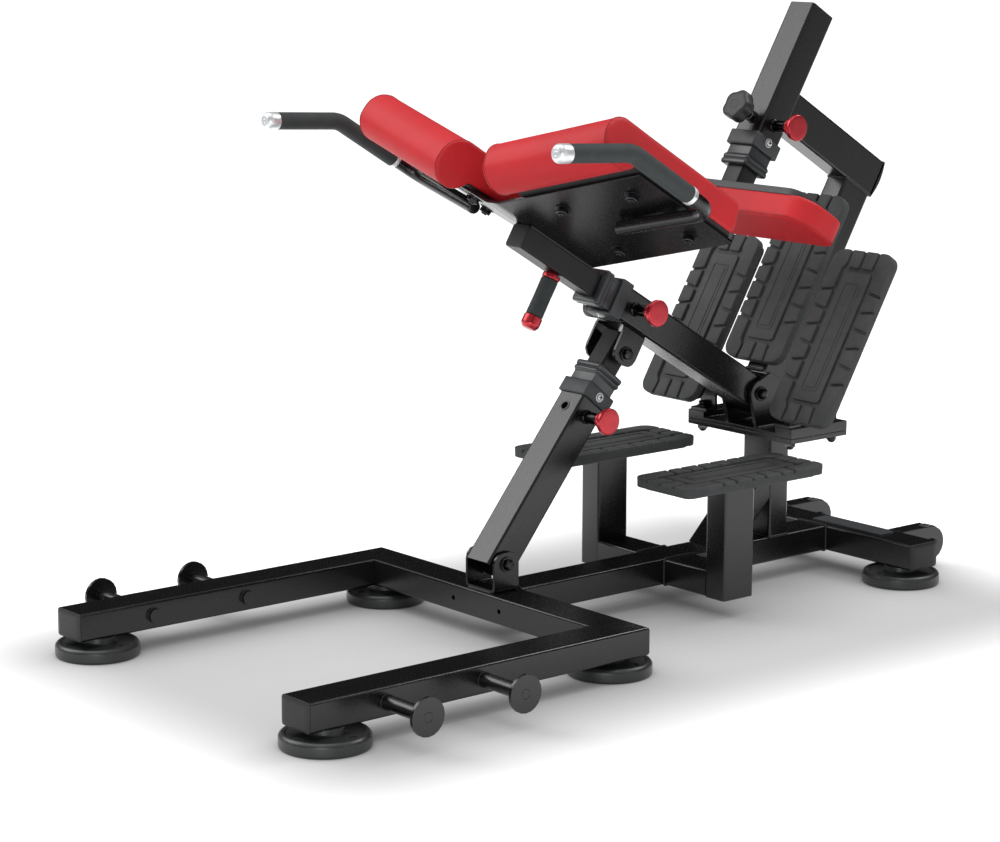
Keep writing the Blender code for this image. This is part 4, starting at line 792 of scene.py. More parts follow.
def bead(name, paths, body, slot, material, width, pitch, depth):
    """Bead along (points, closed) paths in the row frame, as one plain piece."""
    mesh = bpy.data.meshes.new(name + "_line")
    points, edges = [], []
    for path, closed in paths:
        first = len(points)
        points += [tuple(p) for p in path]
        edges += [(first + k, first + k + 1) for k in range(len(path) - 1)]
        if closed:
            edges.append((first + len(path) - 1, first))
    mesh.from_pydata(points, edges, [])
    made = grown(name + "_line", mesh, bead_tree(), {
        "Width": width, "Ripple pitch": pitch, "Ripple depth": depth, "Material": finish(material)})
    return settle_mesh(made, name, body, material, sharp=0)


def fastener_tree():
    """A template on every point, standing along the point's way and turned by a seeded amount."""
    found = bpy.data.node_groups.get("Fasteners on points")
    if found:
        return found
    tree, source, out = node_group("Fasteners on points", (
        ("Template", "NodeSocketObject", None),
        ("Scale", "NodeSocketFloat", 1.0),
        ("Seed", "NodeSocketInt", 3),
        ("Material", "NodeSocketMaterial", None),
    ))
    way = add(tree, "GeometryNodeInputNamedAttribute", {"Name": "way"}, data_type="FLOAT_VECTOR")
    stand = add(tree, "FunctionNodeAlignRotationToVector", {"Vector": way.outputs["Attribute"]}, axis="Z")
    template = add(tree, "GeometryNodeObjectInfo", {"Object": source.outputs["Template"]})
    placed = add(tree, "GeometryNodeInstanceOnPoints", {
        "Points": source.outputs["Geometry"], "Instance": template.outputs["Geometry"],
        "Rotation": stand.outputs[0], "Scale": source.outputs["Scale"]})
    turn = add(tree, "FunctionNodeRandomValue", {"Seed": source.outputs["Seed"]}, data_type="FLOAT_VECTOR")
    turn.inputs[0].default_value = (0.0, 0.0, 0.0)
    turn.inputs[1].default_value = (0.0, 0.0, 2 * math.pi)
    turned_about = add(tree, "GeometryNodeRotateInstances", {
        "Instances": placed.outputs[0], "Rotation": turn.outputs[0], "Local Space": True})
    close_tree(tree, out, turned_about.outputs[0], source.outputs["Material"])
    return tree


def fasteners(name, template, places, body, material="black_oxide_steel", scale=1.0,
              seed=3):
    """Copies of a template mesh on (place, way) pairs, as one plain piece."""
    holder = linked(name + "_template", template)
    mesh = bpy.data.meshes.new(name + "_points")
    mesh.from_pydata([tuple(place) for place, way in places], [], [])
    attribute = mesh.attributes.new("way", "FLOAT_VECTOR", "POINT")
    for item, (place, way) in zip(attribute.data, places):
        item.vector = tuple(Vector(way))
    made = grown(name + "_points", mesh, fastener_tree(), {
        "Template": holder, "Scale": scale, "Seed": seed, "Material": finish(material)})
    bpy.data.objects.remove(holder)
    return settle_mesh(made, name, body, material, sharp=30)


def hexagon(across):
    """Outline of a nut by its width across the flats."""
    return circle(across / math.sqrt(3), 6)


def hex_nut(washer_d, washer_t, across, height, stub, domed=False):
    """Washer, chamfered hexagon and the end of its bolt or a dome over it, standing on z = 0."""
    work = bmesh.new()
    turned(work, ((0, 0), (washer_d / 2, 0), (washer_d / 2, washer_t), (0, washer_t)), HERE, 0.0005, 28)
    top = washer_t + height
    layers = ((0.0004, washer_t), (0, washer_t + 0.0008), (0, top - 0.0012), (0.0012, top))
    stack(work, hexagon(across), layers, HERE)
    if domed:
        reach = across * 0.46
        foot = top - 0.0008
        turns = [math.radians(turn) for turn in range(0, 90, 15)]
        dome = [(reach * math.cos(turn), foot + stub * math.sin(turn)) for turn in turns]
        lathe(work, [(0, foot)] + dome + [(0, foot + stub)], HERE, 28)
    elif stub:
        bolt, chamfer, tip = across * 0.30, 0.001, top + stub
        turned(work, ((0, top - ROOT), (bolt, top - ROOT), (bolt, tip - chamfer), (bolt - chamfer, tip),
                      (0, tip)), HERE, 0.0003, 20)
    return loose_mesh(work, "nut")


def cross_head_screw():
    """Flanged pan-head screw."""
    work = bmesh.new()
    flange_r, flange_t = 0.0073, 0.0010
    turned(work, ((0, 0), (flange_r, 0), (flange_r, flange_t), (0, flange_t)), HERE, 0.0003, 32)
    lathe(work, ((0, flange_t), (0.0050, flange_t), (0.0050, 0.0024), (0.0042, 0.0033), (0.0026, 0.0038),
                 (0, 0.0039)), HERE, 32)
    return loose_mesh(work, "screw")


def cross_recess_shade():
    """Dark cross on a screw's head, standing where the recess's shade would be, and a dark ring for the
    shaded step of its flange: both painted shade.
    """
    work = bmesh.new()
    slot = rounded_rect(0.0068, 0.0019, 0.0005, 1)
    for turn in (0, 90):
        place = Matrix.Rotation(math.radians(turn), 4, "Z")
        stack(work, slot, ((0, 0.0028), (0, 0.0039), (0.0002, 0.0040)), place)
    turned(work, ((0.0049, 0.0009), (0.0061, 0.0009), (0.0061, 0.0012), (0.0049, 0.0012)), HERE, 0.0001, 32)
    return loose_mesh(work, "recess")


def set_screw():
    """Small dark set screw, nearly flush."""
    work = bmesh.new()
    profile = ((0, -0.0003), (0.0012, -0.0003), (0.0013, 0.0003), (0.0022, 0.0004), (0.0022, -ROOT),
               (0, -ROOT))
    turned(work, profile, HERE, 0.0001, 16)
    return loose_mesh(work, "set_screw")


def cushion_block(work, name):
    """Mesh of a cushion's plain shape, with its large end faces cut into triangles."""
    bmesh.ops.triangulate(work, faces=[face for face in work.faces if len(face.verts) > 4])
    return loose_mesh(work, name)


def wing(side):
    """Frame of a pad wing: X along the wing, Y ahead of the pivot, Z off the wing."""
    turn = Matrix((
        (side * math.cos(V_ANGLE), 0, -side * math.sin(V_ANGLE), side * V_FLAT_HALF),
        (0, -1, 0, 0),
        (math.sin(V_ANGLE), 0, math.cos(V_ANGLE), PLATE_UNDER),
        (0, 0, 0, 1),
    ))
    return BEAM @ turn


def puff(mesh, name, voxel, swell, pinned, steps=20):
    """Cover of a foam pad: even mesh, blown up so that its fullest point rises by swell."""
    piece = linked(name + "_cover", mesh)
    remesh = piece.modifiers.new("Even", "REMESH")
    remesh.mode = "VOXEL"
    remesh.voxel_size = voxel
    even = plain_mesh(piece)
    piece.modifiers.clear()
    piece.data = even
    start = [vertex.co.copy() for vertex in even.vertices]
    group = piece.vertex_groups.new(name="board")
    for vertex in even.vertices:
        if pinned(vertex.co):
            group.add([vertex.index], 1.0, "REPLACE")
    cloth = piece.modifiers.new("Inflate", "CLOTH")
    cloth.settings.use_pressure = True
    cloth.settings.uniform_pressure_force = 4.0
    cloth.settings.effector_weights.gravity = 0.0
    cloth.settings.vertex_group_mass = "board"
    cloth.settings.quality = 4
    cloth.point_cache.frame_end = steps
    for step in range(1, steps + 1):
        bpy.context.scene.frame_set(step)
    blown = plain_mesh(piece)
    piece.modifiers.clear()
    furthest = max((vertex.co - was).length for vertex, was in zip(blown.vertices, start))
    share = min(1.0, swell / furthest)
    for vertex, was in zip(blown.vertices, start):
        vertex.co = was.lerp(vertex.co, share)
    piece.data = blown
    bpy.context.scene.frame_set(1)
    subdivide = piece.modifiers.new("Smooth", "SUBSURF")
    subdivide.levels = 1
    subdivide.render_levels = 1
    made = plain_mesh(piece)
    bpy.data.objects.remove(piece)
    return made


def on_surface(mesh, path, lift):
    """Path laid on a mesh's surface, lifted off it by lift."""
    tree = BVHTree.FromPolygons([v.co for v in mesh.vertices], [tuple(p.vertices) for p in mesh.polygons])
    made = []
    for point in path:
        place, normal = tree.find_nearest(point)[:2]
        made.append(place + normal * lift)
    return made


def tread_blocks(gap):
    """Outlines of the raised blocks on one half of a tread: a row up its side, and two at each end."""
    edge, far = TREAD_W / 2 - GAP, TREAD_L / 2 - GAP
    inner, corner_inner = 0.0445, 0.0360
    corner_low, corner_foot, tip_foot = 0.1520, 0.1400, 0.1430
    pitch, count, lean = 0.0374, 5, 0.0030
    low = -pitch * count / 2
    shapes = []
    for index in range(count):
        skew = lean if index % 2 else -lean
        v0, v1 = low + pitch * index + gap, low + pitch * (index + 1) - gap
        shapes.append([(inner, v0 + skew), (edge, v0 - skew), (edge, v1 + skew), (inner, v1 - skew)])
    v = -low + gap
    middle = (TREAD_W / 2 - TREAD_ROUND, TREAD_L / 2 - TREAD_ROUND)
    corner = [(inner, v + lean), (edge, v - lean)]
    corner += [(p.x, p.y) for p in arc(middle, TREAD_ROUND - GAP, 0, 90, 8)]
    corner += [(corner_inner + 0.002, far), (corner_inner, corner_low), (inner, corner_foot)]
    tip = [(gap, tip_foot), (corner_inner - 0.0060, tip_foot), (corner_inner - 0.0030, far), (gap, far)]
    for end in BOTH:
        shapes += [[(x, end * y) for x, y in shape][::end] for shape in (corner, tip)]
    return shapes


def tread(work, place, sizes):
    """Moulded tread: slab, side, corner and end blocks, and a bare centre panel. Its face is place's +Z."""
    top = TREAD_T / 2
    slab_top = top - sizes.block_height
    soft = 0.0016
    slab = rounded_rect(TREAD_W - soft, TREAD_L - soft, TREAD_ROUND - soft / 2, 8)
    stack(work, slab, soft_edges(-top, slab_top, soft), place)
    block = ((0.0, slab_top - ROOT), (0.0002, top - 0.0012), (0.0007, top - 0.0004), (soft, top))
    for shape in tread_blocks(sizes.groove / 2):
        for mirror in BOTH:
            outline = [Vector((x * mirror, y)) for x, y in shape][::mirror]
            stack(work, eased(outline, 0.0026, True, 2), block, place)
    panel_top = top - 0.0014
    panel = ((0.0, slab_top - ROOT), (0.0003, panel_top - 0.0012), (0.0014, panel_top))
    stack(work, rounded_rect(0.0700, 0.2700, 0.0080, 4), panel, place)
    frame_ring = raised(((0.0, -ROOT), (0.0, 0.0006), (0.0006, 0.0011)), panel_top)
    plaque = raised(((0.0, -ROOT), (0.0, 0.0006), (0.0006, 0.0012)), panel_top)
    stack(work, rounded_rect(0.0420, 0.2270, 0.0050, 3), frame_ring, place,
          rounded_rect(0.0360, 0.2210, 0.0030, 3))
    stack(work, rounded_rect(0.0270, 0.2120, 0.0030, 3), plaque, place)


class BENCH_OT_stage(bpy.types.Operator):
    """Floor, lamps, world and the camera of the photographed view."""

    bl_idname = "bench.stage"
    bl_label = "Stage"

    def execute(self, context):
        scene = context.scene
        work = bmesh.new()
        bmesh.ops.create_grid(work, x_segments=1, y_segments=1, size=FLOOR_HALF)
        mesh = bpy.data.meshes.new("floor")
        work.to_mesh(mesh)
        work.free()
        mesh.materials.append(finish("floor_vinyl"))
        linked("floor", mesh)
        for lamp in LAMPS:
            self.lamp(scene, *lamp)
        self.world(scene)
        self.camera(scene)
        scene.view_settings.view_transform = "Standard"
        return {"FINISHED"}

    def lamp(self, scene, name, kind, power, place, aim, spread):
        """One lamp at place, turned to aim."""
        data = bpy.data.lights.new(name, kind)
        data.energy = power
        if kind == "SUN":
            data.angle = spread
        else:
            data.size = spread
        lamp = linked(name, data)
        lamp.location = place
        lamp.rotation_euler = (Vector(aim) - Vector(place)).to_track_quat("-Z", "Y").to_euler()

    def world(self, scene):
        """Pale horizon, a dark wall above it and a bright ceiling; seen straight on it is all white."""
        world = bpy.data.worlds.new("studio")
        world.use_nodes = True
        tree = world.node_tree
        tree.nodes.clear()
        way = add(tree, "ShaderNodeTexCoord").outputs["Generated"]
        height = add(tree, "ShaderNodeSeparateXYZ", {"Vector": way}).outputs["Z"]
        ramp = add(tree, "ShaderNodeValToRGB", {"Fac": height})
        for index, (position, light) in enumerate(SKY):
            if index > 1:
                ramp.color_ramp.elements.new(position)
            ramp.color_ramp.elements[index].position = position
            ramp.color_ramp.elements[index].color = (light, light, light, 1.0)
        rays = add(tree, "ShaderNodeLightPath")
        seen = add(tree, "ShaderNodeMath", {
            0: rays.outputs["Is Camera Ray"], 1: rays.outputs["Is Transmission Ray"]}, operation="MAXIMUM")
        shown = add(tree, "ShaderNodeMixRGB", {
            "Fac": seen.outputs[0], "Color1": ramp.outputs["Color"], "Color2": (1.0, 1.0, 1.0, 1.0)})
        sky = add(tree, "ShaderNodeBackground", {"Color": shown.outputs["Color"], "Strength": 1.0})
        add(tree, "ShaderNodeOutputWorld", {"Surface": sky.outputs[0]})
        scene.world = world

    def camera(self, scene):
        """Camera of the photograph: a long lens, rolled slightly."""
        data = bpy.data.cameras.new("camera")
        data.lens = CAMERA_LENS
        data.sensor_width = CAMERA_SENSOR
        data.clip_end = CAMERA_REACH
        camera = linked("camera", data)
        camera.rotation_mode = "QUATERNION"
        look = (CAMERA_AIM - CAMERA_PLACE).to_track_quat("-Z", "Y").to_matrix()
        camera.rotation_quaternion = (look @ Matrix.Rotation(CAMERA_ROLL, 3, "Z")).to_quaternion()
        camera.location = CAMERA_PLACE
        scene.camera = camera


class BENCH_OT_painted_steel(bpy.types.Operator):
    """Powder-coated steel of the frame, with eased edges."""

    bl_idname = "bench.painted_steel"
    bl_label = "Painted steel"

    def execute(self, context):
        for body, nodes in PAINTED.items():
            for node in nodes:
                work = merged_copy(node)
                self.mark_pegs(work)
                look = "sliding_tube_paint" if "inner" in node else "powder_coated_steel"
                piece = settle(work, node + "_painted", body, look, (node,), 0)
                paint_piece(piece, context.scene.bench_sizes.paint_edge)
        return {"FINISHED"}

    def mark_pegs(self, work):
        """Shallow circle in each peg's disc, where its rod is welded through."""
        rod_mark, wall, width, depth = 0.0090, 0.0003, 0.0006, 0.0004
        steps = ((PEG_DISC_D / 2 - rod_mark, 0.0), (wall, -depth), (width, 0.0), (wall, depth))
        for face in list(work.faces):
            off = abs(face.calc_center_median().x) - BASE_HALF_WIDTH - PEG_REACH
            if abs(off) > 0.0001 or abs(face.normal.x) < 0.99:
                continue
            for thickness, sink in steps:
                bmesh.ops.inset_individual(work, faces=[face], thickness=thickness, depth=sink)


class BENCH_OT_end_caps(bpy.types.Operator):
    """Plastic caps in the open tube ends."""

    bl_idname = "bench.end_caps"
    bl_label = "End caps"

    def execute(self, context):
        crossbar_y = CROSS_REAR_Y + SPINE_LENGTH + TUBE_W / 2
        mid_z = BASE_Z + TUBE_H / 2
        work = bmesh.new()
        for side in BOTH:
            arm_end = (side * (BASE_HALF_WIDTH - TUBE_W / 2), CROSS_REAR_Y - ARM_LENGTH, mid_z)
            crossbar_end = (side * CROSSBAR_LENGTH / 2, crossbar_y, mid_z)
            self.cap(work, TUBE_W, TUBE_H, facing(arm_end, OPEN_END, UP), 0.0018)
            self.cap(work, TUBE_W, TUBE_H, facing(crossbar_end, (side, 0, 0), UP), 0.0018)
        self.cap(work, OUTER_SQ, OUTER_SQ, BEAM @ facing((0, BEAM_TAIL, 0), (0, 1, 0), UP), 0.0030)
        top = BEAM @ facing((0, -LEG_AT, LEG_TUBE_TOP), UP, (0, 1, 0))
        stack(work, square(OUTER_SQ - 0.0062, 0.0035), soft_edges(-0.0130, -0.0008, 0.0010), top)
        settle(work, "frame_end_caps", "bench_frame", "cap_plastic")
        work = bmesh.new()
        rear = BEAM @ facing((0, TOWER_ARM_REAR, TOWER_ARM_LOW + TUBE_W / 2), NEAR, UP)
        bow, root, half, steps = 0.0062, -0.0060, TUBE_W / 2, 12
        outline = [Vector((bow * math.cos(math.pi * k / (2 * steps)), half * k / steps))
                   for k in range(-steps, steps + 1)]
        outline = [Vector((root, -half))] + outline + [Vector((root, half))]
        stack(work, outline, soft_edges(-TUBE_H / 2, TUBE_H / 2, 0.0016), rear)
        settle(work, "tower_arm_end", "bench_frame", "powder_coated_steel")
        work = bmesh.new()
        self.cap(work, INNER_SQ, INNER_SQ, BEAM @ facing((0, -BEAM_INNER_FRONT, 0), OPEN_END, UP), 0.0008)
        settle(work, "beam_end_cap", "pad_carriage", "cap_plastic")
        return {"FINISHED"}

    def cap(self, work, width, height, place, dome):
        """Cap as large as the tube, with a rounded rim and a middle raised by dome."""
        rim_in, rim_up, dome_in = 0.0013, 0.0021, 0.0150
        layers = [(0.0006, -0.0060), (0.0004, 0.0), (0.0004, 0.0010), (rim_in, rim_up)]
        for share in (0.2, 0.4, 0.7, 1.0):
            layers.append((rim_in + dome_in * share, rim_up + dome * math.sin(share * math.pi / 2)))
        stack(work, rounded_rect(width, height, TUBE_ROUND, 4), layers, place, scaled=True)


class BENCH_OT_feet(bpy.types.Operator):
    """Rubber feet with a rounded rim and a hub; at each of three screw holes a small dark block stands as the
    hole's painted shade.
    """

    bl_idname = "bench.feet"
    bl_label = "Feet"

    def execute(self, context):
        profile = ((0, 0), (0.0720, 0), (0.0750, 0.0030), (0.0750, 0.0200), (0.0700, 0.0250),
                   (0.0650, 0.0250), (0.0630, 0.0222), (0.0360, 0.0236), (0.0322, 0.0262), (0.0318, 0.0366),
                   (0, 0.0366))
        rim = [tuple(p) for p in eased(profile, 0.0030, steps=4)]
        hole_ring, hole_z = 0.0520, 0.0226
        spots = []
        for word, x, y in (("front", 0.3410, -0.7884), ("corner", 0.3180, -0.1669), ("rear", 0.2046, 0.7005)):
            for side, hand in SIDES:
                work = bmesh.new()
                lathe(work, rim, Matrix.Translation((side * x, y, 0)), 72)
                settle(work, f"{word}_foot_{hand}", "bench_frame", "foot_urethane",
                       (f"foot_{word}_{hand}",))
                for turn in (20, 140, 260):
                    angle = math.radians(turn)
                    out, back = hole_ring * math.cos(angle), hole_ring * math.sin(angle)
                    spots.append((Vector((side * x + out, y + back, hole_z)), UP))
        # Each screw hole is a small dark block set into the foot's top: painted shade in place of a hole
        hole = bmesh.new()
        stack(hole, rounded_rect(0.0130, 0.0060, 0.0010, 2), soft_edges(-0.0020, 0.0006, 0.0003), HERE)
        fasteners("foot_slots", loose_mesh(hole, "foot_hole_shade"), spots, "bench_frame", material="board_sealer_and_painted_shade")
        return {"FINISHED"}


class BENCH_OT_wheels(bpy.types.Operator):
    """Transport wheels with a rounded tread, a hub and a dished web."""

    bl_idname = "bench.wheels"
    bl_label = "Wheels"

    def execute(self, context):
        half = ((0.0063, 0.0140), (0.0120, 0.0140), (0.0130, 0.0120), (0.0270, 0.0115), (0.0285, 0.0140),
                (0.0310, 0.0140), (0.0350, 0.0100))
        profile = [(radius, -off) for radius, off in half] + list(reversed(half))
        for side, word in SIDES:
            work = bmesh.new()
            turned(work, profile + profile[:1], along((side * WHEEL_X, WHEEL_Y, WHEEL_Z), NEAR), 0.0012, 64)
            bmesh.ops.remove_doubles(work, verts=work.verts, dist=0.00001)
            settle(work, f"wheel_{word}", f"wheel_{word}", "black_bush_plastic",
                   (f"transport_wheel_{word}",))
        return {"FINISHED"}


class BENCH_OT_treads(bpy.types.Operator):
    """The two step treads and three foot plates of moulded rubber."""

    bl_idname = "bench.treads"
    bl_label = "Treads"

    def execute(self, context):
        places = {}
        for side, word in SIDES:
            spot = (side * STEP_TREAD_X, CROSS_REAR_Y + STEP_Y, STEP_TOP - TREAD_T / 2)
            places[f"step_tread_{word}"] = Matrix.Translation(spot)
        plate_back, upright = -0.0250, Matrix.Rotation(math.pi / 2, 4, "X")
        plates = (("near", 0.1780, -0.0490), ("centre", 0.0, 0.0570), ("far", -0.1780, -0.0490))
        for word, x, low in plates:
            spot = (x, plate_back + TREAD_T / 2, low + TREAD_L / 2)
            places[f"foot_plate_{word}"] = BEAM @ Matrix.Translation(spot) @ upright
        for node, place in places.items():
            work = bmesh.new()
            tread(work, place, context.scene.bench_sizes)
            settle(work, node + "_moulded", "bench_frame", "moulded_rubber", (node,))
        return {"FINISHED"}


class BENCH_OT_hip_pads(bpy.types.Operator):
    """Hip pads: flat cushions that run into a front roll, with welts round both ends."""

    bl_idname = "bench.hip_pads"
    bl_label = "Hip pads"

    def execute(self, context):
        sizes = context.scene.bench_sizes
        plate_top = PLATE_T + GAP
        low, high = plate_top + BOARD_T, plate_top + PAD_T
        outline = self.from_side(low, high)
        start = self.shy(outline, low, 0.0010)
        work = bmesh.new()
        stack(work, start, soft_edges(PAD_INNER, PAD_OUTER, 0.0062, 5), facing((0, 0, 0), NEAR, UP))
        cover = puff(cushion_block(work, "hip_pad"), "hip_pad", sizes.pad_voxel, sizes.pad_swell,
                     lambda co: co.z < low + 0.003 and co.y < PLATE_FRONT)
        welt_in, board_front = 0.0050, 0.0390
        span = (PAD_INNER + welt_in, PAD_OUTER - welt_in)
        reach = (PAD_REAR + welt_in, PAD_ROLL_AT - board_front)
        board = rounded_rect(span[1] - span[0], reach[1] - reach[0], 0.0060, 4)
        middle = Matrix.Translation((sum(span) / 2, sum(reach) / 2, 0))
        for side, word in SIDES:
            place = wing(side)
            made = cover.copy()
            made.transform(place)
            if side > 0:
                made.flip_normals()
            piece = settle_mesh(made, f"hip_cushion_{word}", "pad_carriage", "vinyl",
                                (f"hip_pad_{word}",), 0)
            work = bmesh.new()
            stack(work, board, soft_edges(plate_top, low + ROOT, 0.0006), place @ middle)
            settle(work, f"hip_board_{word}", "pad_carriage", "board_sealer_and_painted_shade")
            paths = []
            for x in span:
                line = [Vector((x, p.x, p.y)) for p in dense(outline, 0.006)]
                paths.append(([place @ p for p in on_surface(cover, line, 0.0002)], True))
            bead(f"hip_welt_{word}", paths, "pad_carriage", "red_vinyl", "welt_in_painted_shade", sizes.welt,
                 WELT_PULL, WELT_DEPTH)
        return {"FINISHED"}

    def from_side(self, low, high):
        """Outline of a hip pad from its side, anticlockwise: a flat cushion and its front roll."""
        roll_h = high - PAD_ROLL_R
        under = math.degrees(math.asin((low - roll_h) / PAD_ROLL_R))
        roll = arc((PAD_ROLL_AT, roll_h), PAD_ROLL_R, 180 - under, 450, 32)
        rear = [Vector((PAD_REAR, high)), Vector((PAD_REAR, low))]
        made = roll + eased([roll[-1]] + rear + [roll[0]], 0.0100, steps=6)[1:-1]
        area = sum(a.x * b.y - b.x * a.y for a, b in zip(made, made[1:] + made[:1]))
        return made if area > 0 else made[::-1]

    def shy(self, outline, low, amount):
        """Outline drawn in by amount, except where it rests on its board."""
        made = []
        for was, now in zip(outline, inset(outline, amount)):
            made.append(Vector((now.x, max(now.y, low))) if was.y > low + 0.001 else was.copy())
        return made


def dense(outline, step):
    """Closed outline with points no further apart than step."""
    made = []
    for a, b in zip(outline, outline[1:] + outline[:1]):
        count = max(1, math.ceil((b - a).length / step))
        made += [a.lerp(b, k / count) for k in range(count)]
    return made


class BENCH_OT_leg_pad(bpy.types.Operator):
    """Leg pad under its backing plate, with a welt along the lower edge."""

    bl_idname = "bench.leg_pad"
    bl_label = "Leg pad"

    def execute(self, context):
        sizes = context.scene.bench_sizes
        half, front, rear = LEG_PAD_HALF, -LEG_PAD_FRONT, -LEG_PAD_REAR
        rear_round, front_round = 0.036, 0.050
        outline = arc((half - rear_round, rear - rear_round), rear_round, 0, 90, 8)
        outline += arc((-half + rear_round, rear - rear_round), rear_round, 90, 180, 8)
        outline += arc((-half + front_round, front + front_round), front_round, 180, 270, 10)
        outline += arc((half - front_round, front + front_round), front_round, 270, 360, 10)
        low = LEG_PAD_TOP - LEG_PAD_T
        shy = 0.0010
        profile = ((0.030 + shy, low + shy), (shy, low + shy), (shy, LEG_PAD_TOP - 0.0008),
                   (0.008, LEG_PAD_TOP))
        work = bmesh.new()
        stack(work, outline, [tuple(p) for p in eased(profile, 0.0036, steps=4)], HERE)
        cover = puff(cushion_block(work, "leg_pad"), "leg_pad", sizes.pad_voxel, sizes.pad_swell * 0.8,
                     lambda co: co.z > LEG_PAD_TOP - 0.003)
        made = cover.copy()
        made.transform(BEAM)
        piece = settle_mesh(made, "leg_cushion", "leg_carriage", "vinyl", ("leg_pad",), 0)
        welt_in, welt_up = 0.0015, 0.0045
        line = [Vector((p.x, p.y, low + welt_up)) for p in dense(inset(outline, welt_in), 0.008)]
        ring = [BEAM @ p for p in on_surface(cover, line, 0.0001)]
        bead("leg_welt", [(ring, True)], "leg_carriage", "red_vinyl", "welt_in_painted_shade", sizes.welt * 1.1,
             WELT_PULL, WELT_DEPTH)
        depth = LEG_PAD_FRONT - LEG_PAD_REAR - LEG_BACKING_REAR_INSET
        seat = LEG_PAD_TOP + GAP + LEG_BACKING_T
        sunk = 0.0040
        work = bmesh.new()
        stack(work, rounded_rect(2 * (half - LEG_BACKING_INSET), depth, 0.0300, 8),
              soft_edges(LEG_PAD_TOP - sunk, seat, 0.0012),
              BEAM @ Matrix.Translation((0, depth / 2 - LEG_PAD_FRONT, 0)))
        settle(work, "leg_pad_backing", "leg_carriage", "moulded_plastic")
        work = bmesh.new()
        stack(work, square(INNER_SQ, INNER_ROUND, 5), ((0.0, seat - ROOT), (0.0, LEG_INNER_TOP)),
              BEAM @ Matrix.Translation((0, -LEG_AT, 0)), square(INNER_SQ - 2 * INNER_WALL, 0.0015, 3))
        settle(work, "leg_post_inner_painted", "leg_carriage", "sliding_tube_paint",
               ("leg_post_inner",))
        return {"FINISHED"}


